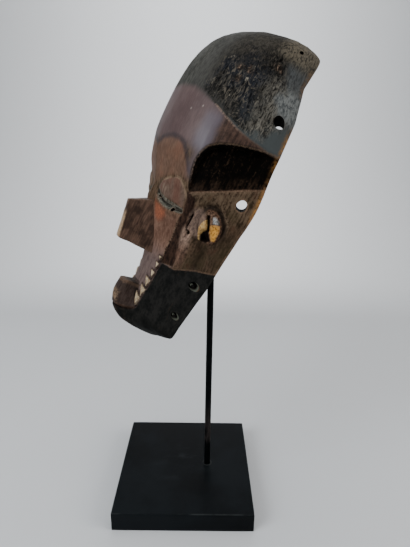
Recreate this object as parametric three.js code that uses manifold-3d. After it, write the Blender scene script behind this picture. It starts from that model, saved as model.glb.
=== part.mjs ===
// Carved wooden face mask of the kindombolo kind on its display stand, in millimetres with +Z up.
// The mask leans back and is turned a little on a steel rod that rises from a square base.

import * as THREE from "three";
import { mergeVertices } from "three/addons/utils/BufferGeometryUtils.js";
import Module from "manifold-3d";

const wasm = await Module();
wasm.setup();

// Stand
const BASE_SIDE = 130;
const BASE_THICK = 19.5;
const BASE_CHAMFER = 0.8;
const ROD_DIAMETER = 6;
const ROD_OFFSET = 22.3; // from the centre of the base, along Y
const ROD_TOP = 386.7; // above the underside of the base
const ROD_DEPTH = 12; // how far the rod goes into the base
const CROWN_PEG_RADIUS = 5;
const ARM_DIAMETER = 4;
const SIDE_ARM_HEIGHT = 318;
const SIDE_ARM_HALF = 58.2;
const CHIN_ARM_HEIGHT = 262;
const CHIN_ARM_REACH = 48.6;
const FIT_GAP = 0.3;
const ROUND_SIDES = 24;
const PEG_SIDES = 16;
const PEG_RINGS = 10;

// Pose of the mask on the rod
const MASK_TURN = THREE.MathUtils.degToRad(22);
const MASK_LEAN = THREE.MathUtils.degToRad(28);
const CHIN_FORWARD = 62.6; // chin's back edge, forward of the rod
const CHIN_HEIGHT = 178.3;

// Cross sections from chin to crown. Each lists its height along the mask, the front at the
// middle, the corner between face and side (out, front), the rim (out, front) and how round
// the face and the side are, from 0 for flat to 1 for a full round.
const SECTIONS = [
  [1.5, -3, 0, -3, 0, -3, 1, 1],
  [3.5, 13, 6, 8, 9, -3, 0.9, 0.6],
  [8, 26, 13, 16, 21, -3, 0.9, 0.5],
  [13, 30, 16, 20, 36, -3, 0.9, 0.4],
  [17.5, 31, 16, 22, 46, -3, 0.9, 0.3],
  [30, 30.5, 15, 25.5, 49.5, -3, 0.9, 0.3],
  [48, 29, 18, 24.2, 55, -3, 0.9, 0.3],
  [66, 33, 22, 24.2, 60, -3.5, 0.4, 0.3],
  [88, 39.5, 30.5, 29.8, 65, -3, 0.4, 0.3],
  [108, 49.5, 42.5, 34.5, 69, -3.2, 0.3, 0.3],
  [118, 50, 45.5, 36.5, 70, -4.2, 0.3, 0.35],
  [130, 54, 49, 42, 71, -4.8, 0.5, 0.4],
  [143, 59.6, 53, 46, 71.5, -4, 0.75, 0.6],
  [165, 64.5, 53, 47, 71.5, -2, 1, 0.9],
  [190, 65.5, 49, 46, 68.5, -2.5, 1, 1],
  [210, 64, 47, 44, 64.5, -3, 1, 1],
  [224, 61, 44.5, 41, 60.5, -4, 1, 1],
  [236, 56.2, 41, 37.2, 57.5, -5, 1, 1],
  [248, 45.4, 36, 29.3, 53.3, -6, 1, 1],
  [257, 33, 27.5, 19.2, 41.3, -6, 1, 1],
  [268, 13, 13, 5.2, 18, -6, 1, 1],
  [272, 3.2, 7.5, -0.6, 10.1, -6, 1, 1],
  [276, -6, 0, -6, 0, -6, 1, 1],
];
const SKIN_MESH = { rowStep: 5.5, columns: 6 }; // columns for each of the face and the side
const HOLLOW_MESH = { rowStep: 10, columns: 4 };
const ROUND_CORNER = 0.586; // how far a round quarter's control point lies toward its corner
const PLACE_HALVINGS = 40; // of the span searched for the place at a height

// Hollow, as the share of the outside that it takes in each direction about HOLLOW_CENTRE
const HOLLOW_WIDE = 0.86;
const HOLLOW_DEEP = 0.8;
const HOLLOW_TALL = 0.93;
const HOLLOW_CENTRE = 132;
const HOLLOW_BACK = 25; // how far the cutting body reaches out behind the rim

// Broken length of the rim on the near side
const CHIP = { low: 198, deep: 227, high: 249, depth: 6.5 };

// Muzzle, a block that stands out from the lower face: flat in front for a half width and falling
// away to its foot, which is wider at the bottom than at the top
const MUZZLE = { top: 38.8, ledge: 3.4, middle: 29, bottom: 3, out: 10.8, flat: 6, round: 0.55 };
const MUZZLE_FOOT = { top: 10.5, bottom: 16.4 };

// Nose wedge
const NOSE = {
  root: { height: 115.5, front: 30, half: 14.5 },
  bridge: { height: 99.4, front: 63.6, half: 2.6 },
  tip: { height: 68.7, front: 59.1, half: 3.4 },
  foot: { height: 67.8, front: 18, half: 15 },
};

// Hollow temple under the brow ledge, as points (front, height)
const LEDGE = [
  [41, 122],
  [44.5, 134],
  [47, 143],
  [45.5, 151],
  [38, 159.5],
  [28, 164],
  [15, 168],
  [-12, 173],
];
const TEMPLE_FOOT_BACK = [-12, 153];
const TEMPLE_DEPTH = 7;
const TEMPLE_LIFT = 0.25; // lets the hollow run out cleanly at its edges
const TEMPLE_RIM = { from: -2, to: 12 }; // where it fades toward the rim, in front of it
const TEMPLE_SLOPE = -0.6; // fall of the lower edge with each millimetre toward the front
const TEMPLE_FOOT = 146;
const TEMPLE_LEAST = 4; // least height from the foot to the ledge
const TEMPLE_FRONT = 43; // front end of the ledge's long slope
const TEMPLE_POWER = 0.7;
const CHIN_FADE = 12; // height over which carving fades in above the chin
const INSET_STEP = 0.02; // between the places whose difference gives the surface's direction

// Span of the bodies that cut the side (out) and the face (front)
const SIDE_CUT = { from: 18, to: 100 };
const FACE_CUT = { from: 20, to: 70 };

// Eye: a swelling lid over a narrow curved slit
const LID = { out: 25.5, height: 117.5, wide: 20, tall: 12.5, slope: 0.12, swell: 2, power: 0.8 };
const SLIT = { from: [9, 115.6], sag: [16.5, 106.4], to: [40.8, 108.4], width: 1.8, depth: 3 };
const EYE_HOLES = [
  [13.8, 113.2],
  [31.5, 107],
];
const EYE_HOLE_DIAMETER = 3.2;
const EYE_HOLE_SIDES = 8;

// Ear: a coffee-bean boss in an incised arch
const EAR = { out: 56.5, front: 15.2, height: 107.5, turn: 0.56, lean: 0.41 };
const EAR_RADII = { thick: 5, wide: 8.5, long: 12 };
const EAR_SLOT = { thick: 3, wide: 1.1, long: 8.5, lift: 4 };
const EAR_ARCH = { front: 17.5, wide: 10.5, tall: 14, line: 1.6, depth: 1.2, from: -0.2, to: 3.3 };
const ARCH_STEPS = 10;
const BEAN_SIDES = 14;
const BEAN_RINGS = 9;

// Teeth along the edge of the jaw, from the mouth corner up to the cheek. Each lists the points
// (out, height) of its lower and upper end on the edge and of its tip.
const TEETH = [
  [[14.2, 24.2], [16.6, 31.2], [10.9, 36]],
  [[15.6, 32.6], [18.4, 39.6], [12, 42.8]],
  [[16.8, 41.8], [19.6, 48.4], [13.2, 50.6]],
  [[18.2, 50.8], [20.4, 55.9], [16.4, 57.6]],
  [[19.4, 59], [21.6, 64], [18.5, 65]],
  [[20.6, 66.4], [22.2, 70], [20, 70.2]],
];
const TOOTH_PROUD = 1;
const TOOTH_ROOT = 6;
const TOOTH_SINK = 1; // how far a tooth reaches out past the edge

// Mouth line round the muzzle, as points (out, height)
const MOUTH = { middle: 16.5, corner: [15.5, 23.5], width: 1.6 };

// Cord holes: out, front and height on the side, diameter, that of a widened mouth, and the
// direction of the drill inward
const HOLES = [
  { name: "upper", at: [66.6, 8.7, 192.4], diameter: 8.2, aim: [-6.9, -6.6, -2.5] },
  { name: "ear", at: [67.6, 6.1, 130.6], diameter: 8, aim: [-9.3, -4.2, 2.8] },
  { name: "cheek", at: [51.9, 4, 62.5], diameter: 2.4, mouth: 6.8, aim: [-11.4, -0.3, 1.8] },
  { name: "jaw", at: [45, 3.5, 34.5], diameter: 2.2, mouth: 5.6, aim: [-11.4, -0.3, 1.8] },
  { name: "crown", at: [50.5, 9.5, 245.5], diameter: 3.2, aim: [-10, -4, -3] },
];
const DRILL_REACH = 26;
const MOUTH_DEPTH = 8; // of a widened mouth
const DRILL_SIDES = 12;

// Joining and cutting
function solid(geometry) {
  const bare = geometry.index ? geometry.toNonIndexed() : geometry.clone();
  bare.deleteAttribute("normal");
  bare.deleteAttribute("uv");
  const merged = mergeVertices(bare, 1e-4);
  return new wasm.Manifold(
    new wasm.Mesh({
      numProp: 3,
      vertProperties: merged.attributes.position.array,
      triVerts: new Uint32Array(merged.index.array),
    }),
  );
}

function geometryOf(body) {
  const mesh = body.getMesh();
  const geometry = new THREE.BufferGeometry();
  geometry.setAttribute("position", new THREE.BufferAttribute(mesh.vertProperties, 3));
  geometry.setIndex(new THREE.BufferAttribute(mesh.triVerts, 1));
  const faceted = geometry.toNonIndexed();
  faceted.computeVertexNormals();
  return faceted;
}

function indexed(points, triangles) {
  const geometry = new THREE.BufferGeometry();
  geometry.setAttribute("position", new THREE.Float32BufferAttribute(points.flat(), 3));
  geometry.setIndex(triangles.flat());
  return geometry;
}

function smooth(from, to, value) {
  return THREE.MathUtils.smoothstep(value, from, to);
}

// Monotone cubic through one column of the sections
function slopesOf(values) {
  const steps = values.slice(1).map((value, i) => value - values[i]);
  return values.map((_, i) => {
    const before = steps[i - 1];
    const after = steps[i];
    if (before === undefined) return after;
    if (after === undefined) return before;
    return before * after <= 0 ? 0 : (2 * before * after) / (before + after);
  });
}

const COLUMNS = SECTIONS[0].map((_, column) => SECTIONS.map((row) => row[column]));
const SLOPES = COLUMNS.map(slopesOf);

function sectionAt(place) {
  const i = Math.min(Math.floor(place), SECTIONS.length - 2);
  const t = place - i;
  return COLUMNS.map((values, column) => {
    const m = SLOPES[column];
    const rise = 3 * t * t - 2 * t * t * t;
    const bend = t * (1 - t);
    return values[i] * (1 - rise) + values[i + 1] * rise + bend * ((1 - t) * m[i] - t * m[i + 1]);
  });
}

// One point of a two-arc curve from the middle of the face over the corner to the rim
function arcPoint(section, share) {
  const [, front, cornerOut, cornerFront, rimOut, rimFront, faceRound, sideRound] = section;
  const t = share <= 1 ? share : share - 1;
  const bezier = (a, b, c) => (1 - t) * (1 - t) * a + 2 * t * (1 - t) * b + t * t * c;
  if (share <= 1) {
    const midOut = cornerOut * (0.5 + faceRound * (ROUND_CORNER - 0.5));
    const midFront = THREE.MathUtils.lerp((front + cornerFront) / 2, front, faceRound);
    return [bezier(0, midOut, cornerOut), bezier(front, midFront, cornerFront)];
  }
  const midOut = THREE.MathUtils.lerp((cornerOut + rimOut) / 2, rimOut, sideRound);
  const full = rimFront + ROUND_CORNER * (cornerFront - rimFront);
  const midFront = THREE.MathUtils.lerp((cornerFront + rimFront) / 2, full, sideRound);
  return [bezier(cornerOut, midOut, rimOut), bezier(cornerFront, midFront, rimFront)];
}

function muzzleOut(out, height) {
  const above = 1 - smooth(MUZZLE.top, MUZZLE.top + MUZZLE.ledge, height);
  const below = smooth(MUZZLE.bottom, MUZZLE.middle, height) ** MUZZLE.round;
  const share = (height - MUZZLE.bottom) / (MUZZLE.top - MUZZLE.bottom);
  const foot = THREE.MathUtils.lerp(MUZZLE_FOOT.bottom, MUZZLE_FOOT.top, share);
  const across = 1 - smooth(MUZZLE.flat, foot, Math.abs(out));
  return MUZZLE.out * above * below * across;
}

function lidOut(out, height) {
  const across = (Math.abs(out) - LID.out) / LID.wide;
  const up = (height - LID.height - LID.slope * (Math.abs(out) - LID.out)) / LID.tall;
  return LID.swell * Math.max(0, 1 - across * across - up * up) ** LID.power;
}

function chipIn(out, height) {
  const { low, deep, high, depth } = CHIP;
  const share = height < deep ? (height - low) / (deep - low) : (high - height) / (high - deep);
  return out > 0 ? depth * Math.max(0, share) : 0;
}

// Point on the outside of the mask; side runs from -2 at one rim over 0 to 2 at the other
function outside(place, side) {
  const section = sectionAt(place);
  const [out, front] = arcPoint(section, Math.abs(side));
  const x = Math.sign(side) * out;
  const share = Math.max(0, Math.abs(side) - 1);
  const chipped = x - chipIn(x, section[0]) * share * share;
  const raised = front + muzzleOut(x, section[0]) + lidOut(x, section[0]);
  return new THREE.Vector3(chipped, -raised, section[0]);
}

function hollowPoint(place, side) {
  const section = sectionAt(place);
  const [out, front] = arcPoint(section, Math.abs(side));
  const rim = section[5];
  return new THREE.Vector3(
    Math.sign(side) * out * HOLLOW_WIDE,
    -(rim + (front - rim) * HOLLOW_DEEP),
    HOLLOW_CENTRE + (section[0] - HOLLOW_CENTRE) * HOLLOW_TALL,
  );
}

// Place along the sections where the mask reaches a height
function placeAt(height) {
  let low = 0;
  let high = SECTIONS.length - 1;
  for (let i = 0; i < PLACE_HALVINGS; i += 1) {
    const middle = (low + high) / 2;
    if (sectionAt(middle)[0] < height) low = middle;
    else high = middle;
  }
  return low;
}

// Rows of a loft, with one at each edge of the muzzle's ledge
function rowPlaces(rowStep) {
  const places = [placeAt(MUZZLE.top), placeAt(MUZZLE.top + MUZZLE.ledge)];
  for (let i = 0; i < SECTIONS.length - 1; i += 1) {
    const count = Math.max(1, Math.round((SECTIONS[i + 1][0] - SECTIONS[i][0]) / rowStep));
    for (let k = i ? 0 : 1; k < count; k += 1) places.push(i + k / count);
  }
  return places.sort((a, b) => a - b);
}

function sideShares(columns) {
  const shares = Array.from({ length: 2 * columns }, (_, k) => (k + 1) / columns);
  return [...shares.map((share) => -share).reverse(), 0, ...shares];
}

// Closed body between a point function's two rims, with a back that is flat or drawn out
function loft(point, back, { rowStep, columns }) {
  const rows = rowPlaces(rowStep);
  const sides = sideShares(columns);
  const points = rows.flatMap((row) => sides.map((side) => point(row, side).toArray()));
  const last = sides.length - 1;
  const top = rows.length - 1;
  const chin = points.push(point(0, 0).toArray()) - 1;
  const crown = points.push(point(SECTIONS.length - 1, 0).toArray()) - 1;
  const at = (i, j) => i * sides.length + j;
  const triangles = [];
  const quad = (a, b, c, d) => triangles.push([a, b, c], [a, c, d]);
  for (let i = 0; i < top; i += 1) {
    for (let j = 0; j < last; j += 1) quad(at(i, j), at(i, j + 1), at(i + 1, j + 1), at(i + 1, j));
  }
  for (let j = 0; j < last; j += 1) {
    triangles.push([chin, at(0, j + 1), at(0, j)]);
    triangles.push([crown, at(top, j), at(top, j + 1)]);
  }

  const near = [chin, ...rows.map((_, i) => at(i, last)), crown];
  const far = [chin, ...rows.map((_, i) => at(i, 0)), crown];
  const end = near.length - 1;
  const drawnBack = (index) => {
    const [x, y, z] = points[index];
    return points.push([x, y + back, z]) - 1;
  };
  const nearBack = back ? near.map(drawnBack) : near;
  const farBack = back ? [nearBack[0], ...far.slice(1, end).map(drawnBack), nearBack[end]] : far;
  for (let i = 0; i < end; i += 1) {
    if (back) {
      quad(near[i], nearBack[i], nearBack[i + 1], near[i + 1]);
      quad(far[i], far[i + 1], farBack[i + 1], farBack[i]);
    }
    if (i > 0) triangles.push([nearBack[i], farBack[i], nearBack[i + 1]]);
    if (i < end - 1) triangles.push([farBack[i], farBack[i + 1], nearBack[i + 1]]);
  }
  return solid(indexed(points, triangles));
}

// The outside drawn in by a depth that may vary with the distance in front and the height
function insetBy(depth) {
  const inset = (place, side) => {
    const point = outside(place, side);
    const near = THREE.MathUtils.clamp(side, INSET_STEP - 2, 2 - INSET_STEP);
    const across = outside(place, near + INSET_STEP).sub(outside(place, near - INSET_STEP));
    const lower = Math.max(place - INSET_STEP, INSET_STEP);
    const upper = Math.min(place + INSET_STEP, SECTIONS.length - 1 - INSET_STEP);
    const up = outside(upper, near).sub(outside(lower, near));
    const inward = across.cross(up).normalize().negate();
    const room = THREE.MathUtils.clamp((point.z - SECTIONS[0][0]) / CHIN_FADE, 0, 1);
    return point.addScaledVector(inward, depth(-point.y, point.z) * room);
  };
  return loft(inset, HOLLOW_BACK, SKIN_MESH);
}

// Body bounded by an outline drawn on the side of the mask, as points (front, height)
function sideOutline(outline, from, to) {
  const shape = new THREE.Shape(outline.map(([front, height]) => new THREE.Vector2(-front, height)));
  const geometry = new THREE.ExtrudeGeometry(shape, { depth: to - from, bevelEnabled: false });
  geometry.applyMatrix4(
    new THREE.Matrix4().makeBasis(
      new THREE.Vector3(0, 1, 0),
      new THREE.Vector3(0, 0, 1),
      new THREE.Vector3(1, 0, 0),
    ),
  );
  geometry.translate(from, 0, 0);
  return solid(geometry);
}

// Body bounded by an outline drawn on the front of the mask, as points (out, height)
function frontOutline(outline, from, to) {
  const shape = new THREE.Shape(outline.map(([out, height]) => new THREE.Vector2(out, height)));
  const geometry = new THREE.ExtrudeGeometry(shape, { depth: to - from, bevelEnabled: false });
  geometry.rotateX(Math.PI / 2);
  geometry.translate(0, -from, 0);
  return solid(geometry);
}

// Ellipsoid with three half-axes, on either side of the mask
function ellipsoid(centre, axes, hand) {
  const [a, b, c] = axes.map(([x, y, z]) => new THREE.Vector3(hand * x, y, z));
  if (a.clone().cross(b).dot(c) < 0) a.negate();
  const geometry = new THREE.SphereGeometry(1, BEAN_SIDES, BEAN_RINGS);
  const [x, y, z] = centre;
  geometry.applyMatrix4(new THREE.Matrix4().makeBasis(a, b, c).setPosition(hand * x, y, z));
  return solid(geometry);
}

function scaled(vector, length) {
  return vector.map((value) => value * length);
}

function noseBody() {
  const profile = [NOSE.root, NOSE.bridge, NOSE.tip, NOSE.foot];
  const left = profile.map(({ height, front, half }) => [-half, -front, height]);
  const right = profile.map(({ height, front, half }) => [half, -front, height]);
  const triangles = [
    [0, 2, 1],
    [0, 3, 2],
    [4, 5, 6],
    [4, 6, 7],
  ];
  for (let i = 0; i < 4; i += 1) {
    const next = (i + 1) % 4;
    triangles.push([i, next + 4, i + 4], [i, next, next + 4]);
  }
  return solid(indexed([...left, ...right], triangles));
}

// Directions at the ear: square to the cheek, toward the front, and along the bean
function earAxes() {
  const { turn, lean } = EAR;
  const square = [Math.cos(turn), -Math.sin(turn), 0];
  const toFront = [-Math.sin(turn), -Math.cos(turn), 0];
  const long = [toFront[0] * Math.sin(lean), toFront[1] * Math.sin(lean), Math.cos(lean)];
  const wide = [toFront[0] * Math.cos(lean), toFront[1] * Math.cos(lean), -Math.sin(lean)];
  return { square, wide, long };
}

function earBody(hand) {
  const { square, wide, long } = earAxes();
  const axes = [
    scaled(square, EAR_RADII.thick),
    scaled(wide, EAR_RADII.wide),
    scaled(long, EAR_RADII.long),
  ];
  return ellipsoid([EAR.out, -EAR.front, EAR.height], axes, hand);
}

function earSlot(hand) {
  const { square, wide, long } = earAxes();
  const centre = [EAR.out, -EAR.front, EAR.height].map((value, i) => value + square[i] * EAR_SLOT.lift);
  const axes = [
    scaled(square, EAR_SLOT.thick),
    scaled(wide, EAR_SLOT.wide),
    scaled(long, EAR_SLOT.long),
  ];
  return ellipsoid(centre, axes, hand);
}

function earArch() {
  const point = (radius, angle) => [
    EAR_ARCH.front + (EAR_ARCH.wide + radius) * Math.cos(angle),
    EAR.height + (EAR_ARCH.tall + radius) * Math.sin(angle),
  ];
  const angles = Array.from({ length: ARCH_STEPS + 1 }, (_, i) =>
    THREE.MathUtils.lerp(EAR_ARCH.from, EAR_ARCH.to, i / ARCH_STEPS),
  );
  const outer = angles.map((angle) => point(EAR_ARCH.line / 2, angle));
  const inner = angles.map((angle) => point(-EAR_ARCH.line / 2, angle)).reverse();
  return [...outer, ...inner];
}

// Crescent about a curve from one corner of the eye, under the lid, to the other
function slitOutline(hand) {
  const { from, sag, to, width } = SLIT;
  const curve = (lift) =>
    new THREE.QuadraticBezierCurve(
      new THREE.Vector2(hand * from[0], from[1]),
      new THREE.Vector2(hand * sag[0], sag[1] + lift),
      new THREE.Vector2(hand * to[0], to[1]),
    ).getPoints(ARCH_STEPS);
  const upper = curve(width);
  const lower = curve(-width).slice(1, -1).reverse();
  return [...upper, ...lower].map(({ x, y }) => [x, y]);
}

function mouthOutline() {
  const [cornerOut, cornerHeight] = MOUTH.corner;
  const rise = (share) => MOUTH.middle + (cornerHeight - MOUTH.middle) * share ** 4;
  const shares = Array.from({ length: ARCH_STEPS + 1 }, (_, i) => (2 * i) / ARCH_STEPS - 1);
  const line = (lift) => shares.map((share) => [cornerOut * share, rise(Math.abs(share)) + lift]);
  return [...line(MOUTH.width / 2), ...line(-MOUTH.width / 2).reverse()];
}

function teethOutlines(hand) {
  return TEETH.map(([low, high, tip]) => [
    [hand * (low[0] + TOOTH_SINK), low[1]],
    [hand * (high[0] + TOOTH_SINK), high[1]],
    [hand * tip[0], tip[1]],
  ]);
}

// Drill through the wall, with a wide mouth where the hole has one
function drill({ at, diameter, mouth, aim }, hand) {
  const [out, front, height] = at;
  const direction = new THREE.Vector3(hand * aim[0], -aim[1], aim[2]).normalize();
  const bore = new THREE.CylinderGeometry(diameter / 2, diameter / 2, 2 * DRILL_REACH, DRILL_SIDES);
  const cone = new THREE.CylinderGeometry(diameter / 2, mouth - diameter / 2, 2 * MOUTH_DEPTH, DRILL_SIDES);
  const cuts = (mouth ? [bore, cone] : [bore]).map((geometry) => {
    geometry.applyQuaternion(
      new THREE.Quaternion().setFromUnitVectors(new THREE.Vector3(0, 1, 0), direction),
    );
    geometry.translate(hand * out, -front, height);
    return solid(geometry);
  });
  return cuts.reduce((sum, cut) => sum.add(cut));
}

function eyeHole([out, height], hand) {
  const radius = EYE_HOLE_DIAMETER / 2;
  const { from, to } = FACE_CUT;
  const geometry = new THREE.CylinderGeometry(radius, radius, to - from, EYE_HOLE_SIDES);
  geometry.translate(hand * out, -(from + to) / 2, height);
  return solid(geometry);
}

// Height of the temple's ledge and of its foot at a distance in front of the rim
function ledgeHeight(front) {
  const points = [...LEDGE].reverse();
  const i = Math.max(1, points.findIndex(([value]) => value > front));
  const [a, b] = [points[i - 1], points[i]];
  return THREE.MathUtils.mapLinear(front, a[0], b[0], a[1], b[1]);
}

function templeFoot(front) {
  return TEMPLE_FOOT + TEMPLE_SLOPE * front;
}

function templeDepth(front, height) {
  const foot = templeFoot(front);
  const ledge = ledgeHeight(Math.min(front, TEMPLE_FRONT));
  const share = (height - foot) / Math.max(TEMPLE_LEAST, ledge - foot);
  if (share < 0) return -TEMPLE_LIFT;
  const fade = smooth(TEMPLE_RIM.from, TEMPLE_RIM.to, front);
  return TEMPLE_DEPTH * fade * Math.min(share, 1) ** TEMPLE_POWER - TEMPLE_LIFT;
}

function maskGeometry() {
  const hands = [1, -1];
  const addAll = (body, pieces) => pieces.reduce((sum, piece) => sum.add(piece), body);
  const cutAll = (body, pieces) => pieces.reduce((rest, piece) => rest.subtract(piece), body);
  const skin = loft(outside, 0, SKIN_MESH);
  const underTemple = insetBy(templeDepth);
  const underLines = insetBy(() => EAR_ARCH.depth);
  const underSlit = insetBy(() => SLIT.depth);
  const overTeeth = insetBy(() => -TOOTH_PROUD);

  const fromSide = (outline, hand) =>
    hand > 0
      ? sideOutline(outline, SIDE_CUT.from, SIDE_CUT.to)
      : sideOutline(outline, -SIDE_CUT.to, -SIDE_CUT.from);
  const fromFace = (outline) => frontOutline(outline, FACE_CUT.from, FACE_CUT.to);
  const temple = [...LEDGE, TEMPLE_FOOT_BACK];
  const temples = hands.map((hand) => fromSide(temple, hand).subtract(underTemple));
  const arches = hands.map((hand) => fromSide(earArch(), hand).subtract(underLines));
  const slits = hands.map((hand) => fromFace(slitOutline(hand)).subtract(underSlit));
  const mouth = fromFace(mouthOutline()).subtract(underLines);
  const teeth = hands.flatMap((hand) =>
    teethOutlines(hand).map((outline) =>
      frontOutline(outline, TOOTH_ROOT, FACE_CUT.to).intersect(overTeeth),
    ),
  );

  const carved = cutAll(skin, [...temples, ...arches, mouth]);
  const raised = addAll(carved, [noseBody(), ...hands.map(earBody), ...teeth]);
  const hollow = loft(hollowPoint, HOLLOW_BACK, HOLLOW_MESH);
  const drills = hands.flatMap((hand) => [
    ...HOLES.map((hole) => drill(hole, hand)),
    ...EYE_HOLES.map((place) => eyeHole(place, hand)),
    earSlot(hand),
  ]);
  return geometryOf(cutAll(raised, [...slits, hollow, ...drills]));
}

function rod(diameter, length) {
  return new THREE.CylinderGeometry(diameter / 2, diameter / 2, length, ROUND_SIDES);
}

function baseGeometry() {
  const half = BASE_SIDE / 2 - BASE_CHAMFER;
  const outline = new THREE.Shape([
    new THREE.Vector2(-half, -half),
    new THREE.Vector2(half, -half),
    new THREE.Vector2(half, half),
    new THREE.Vector2(-half, half),
  ]);
  const plate = new THREE.ExtrudeGeometry(outline, {
    depth: BASE_THICK - 2 * BASE_CHAMFER,
    bevelThickness: BASE_CHAMFER,
    bevelSize: BASE_CHAMFER,
    bevelSegments: 1,
  });
  plate.translate(0, 0, BASE_CHAMFER);
  const bore = rod(ROD_DIAMETER + 2 * FIT_GAP, 2 * ROD_DEPTH);
  bore.rotateX(Math.PI / 2);
  bore.translate(0, ROD_OFFSET, BASE_THICK);
  return geometryOf(solid(plate).subtract(solid(bore)));
}

// Rod with its rounded peg under the crown, a cross arm between the temples and a chin arm,
// about the rod's own axis, turned with the mask
function standGeometry() {
  const foot = BASE_THICK - ROD_DEPTH + FIT_GAP;
  const upright = rod(ROD_DIAMETER, ROD_TOP - foot);
  upright.rotateX(Math.PI / 2);
  upright.translate(0, 0, (ROD_TOP + foot) / 2);
  const peg = new THREE.SphereGeometry(CROWN_PEG_RADIUS, PEG_SIDES, PEG_RINGS);
  peg.translate(0, 0, ROD_TOP);
  const cross = rod(ARM_DIAMETER, 2 * SIDE_ARM_HALF);
  cross.rotateZ(Math.PI / 2);
  cross.translate(0, 0, SIDE_ARM_HEIGHT);
  const chin = rod(ARM_DIAMETER, CHIN_ARM_REACH);
  chin.translate(0, -CHIN_ARM_REACH / 2, CHIN_ARM_HEIGHT);
  return geometryOf([upright, peg, cross, chin].map(solid).reduce((sum, piece) => sum.add(piece)));
}

const wood = new THREE.MeshStandardMaterial({ color: 0x4a3a30, roughness: 0.55, metalness: 0 });
const blackSteel = new THREE.MeshStandardMaterial({ color: 0x15171a, roughness: 0.45, metalness: 0.4 });
const blackBoard = new THREE.MeshStandardMaterial({ color: 0x17191c, roughness: 0.5, metalness: 0 });

const kindomboloMask = new THREE.Group();

const base = new THREE.Mesh(baseGeometry(), blackBoard);
base.name = "base";
kindomboloMask.add(base);

const onRod = new THREE.Group();
onRod.position.set(0, ROD_OFFSET, 0);
onRod.rotation.z = MASK_TURN;
kindomboloMask.add(onRod);

const stand = new THREE.Mesh(standGeometry(), blackSteel);
stand.name = "stand_rod";
onRod.add(stand);

const mask = new THREE.Mesh(maskGeometry(), wood);
mask.name = "mask";
mask.position.set(0, -CHIN_FORWARD, CHIN_HEIGHT);
mask.rotation.x = -MASK_LEAN;
onRod.add(mask);

export default kindomboloMask;
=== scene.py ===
"""Looks of the carved wooden mask on its rod and base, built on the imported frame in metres.

Sizes in this script are millimetres in the mask's own directions until they are placed:
out (to the side), front (forward of the rim) and height (along the mask, from the chin).
"""

import math

import bpy
import bmesh
import numpy as np
from mathutils import Matrix, Vector


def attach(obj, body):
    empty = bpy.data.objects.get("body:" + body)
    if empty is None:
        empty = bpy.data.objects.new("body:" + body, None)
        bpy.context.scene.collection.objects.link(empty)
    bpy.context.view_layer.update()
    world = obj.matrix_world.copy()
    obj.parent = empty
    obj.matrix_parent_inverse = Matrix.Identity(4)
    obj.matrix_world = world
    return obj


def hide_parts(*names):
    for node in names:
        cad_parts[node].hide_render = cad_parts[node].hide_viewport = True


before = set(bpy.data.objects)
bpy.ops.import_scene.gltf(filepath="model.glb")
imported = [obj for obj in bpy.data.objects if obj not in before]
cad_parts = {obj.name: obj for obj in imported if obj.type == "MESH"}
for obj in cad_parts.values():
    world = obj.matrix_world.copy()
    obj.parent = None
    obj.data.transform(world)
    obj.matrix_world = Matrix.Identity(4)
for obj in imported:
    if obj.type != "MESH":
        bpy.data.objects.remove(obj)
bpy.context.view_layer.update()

MM = 0.001

# Photograph: size in pixels and the camera that took it
PHOTO_WIDTH = 410
PHOTO_HEIGHT = 547
FOCAL_PIXELS = 420.24
SENSOR = 36.0
CAMERA_PLACE = (0.3603054, 0.0144495, 0.3394209)
CAMERA_RIGHT = (0.00236106, 0.99987929, 0.01535701)
CAMERA_UP = (-0.29968276, -0.01394374, 0.95393701)
CAMERA_AHEAD = (-0.95403599, 0.00685453, -0.29961366)

# Stand
ROD_OFFSET = 22.3
BASE_SIDE = 130.0
BASE_THICK = 19.5
BASE_EDGE = 0.8
BASE_CUTS = 10
ROD_DIAMETER = 6.0
ROD_TOP = 386.7
ROD_DEPTH = 12.0
FIT_GAP = 0.3
PEG_RADIUS = 5.0
ARM_DIAMETER = 4.0
ARM_DOME = 1.2
DOME_STEPS = 6
SIDE_ARM_HEIGHT = 318.0
SIDE_ARM_HALF = 58.2
CHIN_ARM_HEIGHT = 262.0
CHIN_ARM_REACH = 48.6
# Stretch of the rod that is scuffed and carries a painted reflection, in metres up: where it fades in, and
# where it fades out downward
SCUFF_AND_SHEEN_FROM = (0.044, 0.05)
SCUFF_AND_SHEEN_TO = (0.1, 0.065)
# Ring round the rod's foot and the rubbed edge of the board, in metres
RING_RADIUS = 0.0042
EDGE_ACROSS = (0.0636, 0.0645)
EDGE_UP = (0.0182, 0.019)

# Stage, in metres
PAPER = (202, 204, 206)
SWEEP_NEAR = 1.6
SWEEP_FAR = -1.7
SWEEP_ROUND = 0.9
SWEEP_TALL = 2.6
SWEEP_HALF = 2.4
SWEEP_STEPS = 16
AMBIENT = 0.15

# Pose of the mask on the rod
MASK_TURN = math.radians(22)
MASK_LEAN = math.radians(28)
CHIN_FORWARD = 62.6
CHIN_HEIGHT = 178.3

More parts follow.
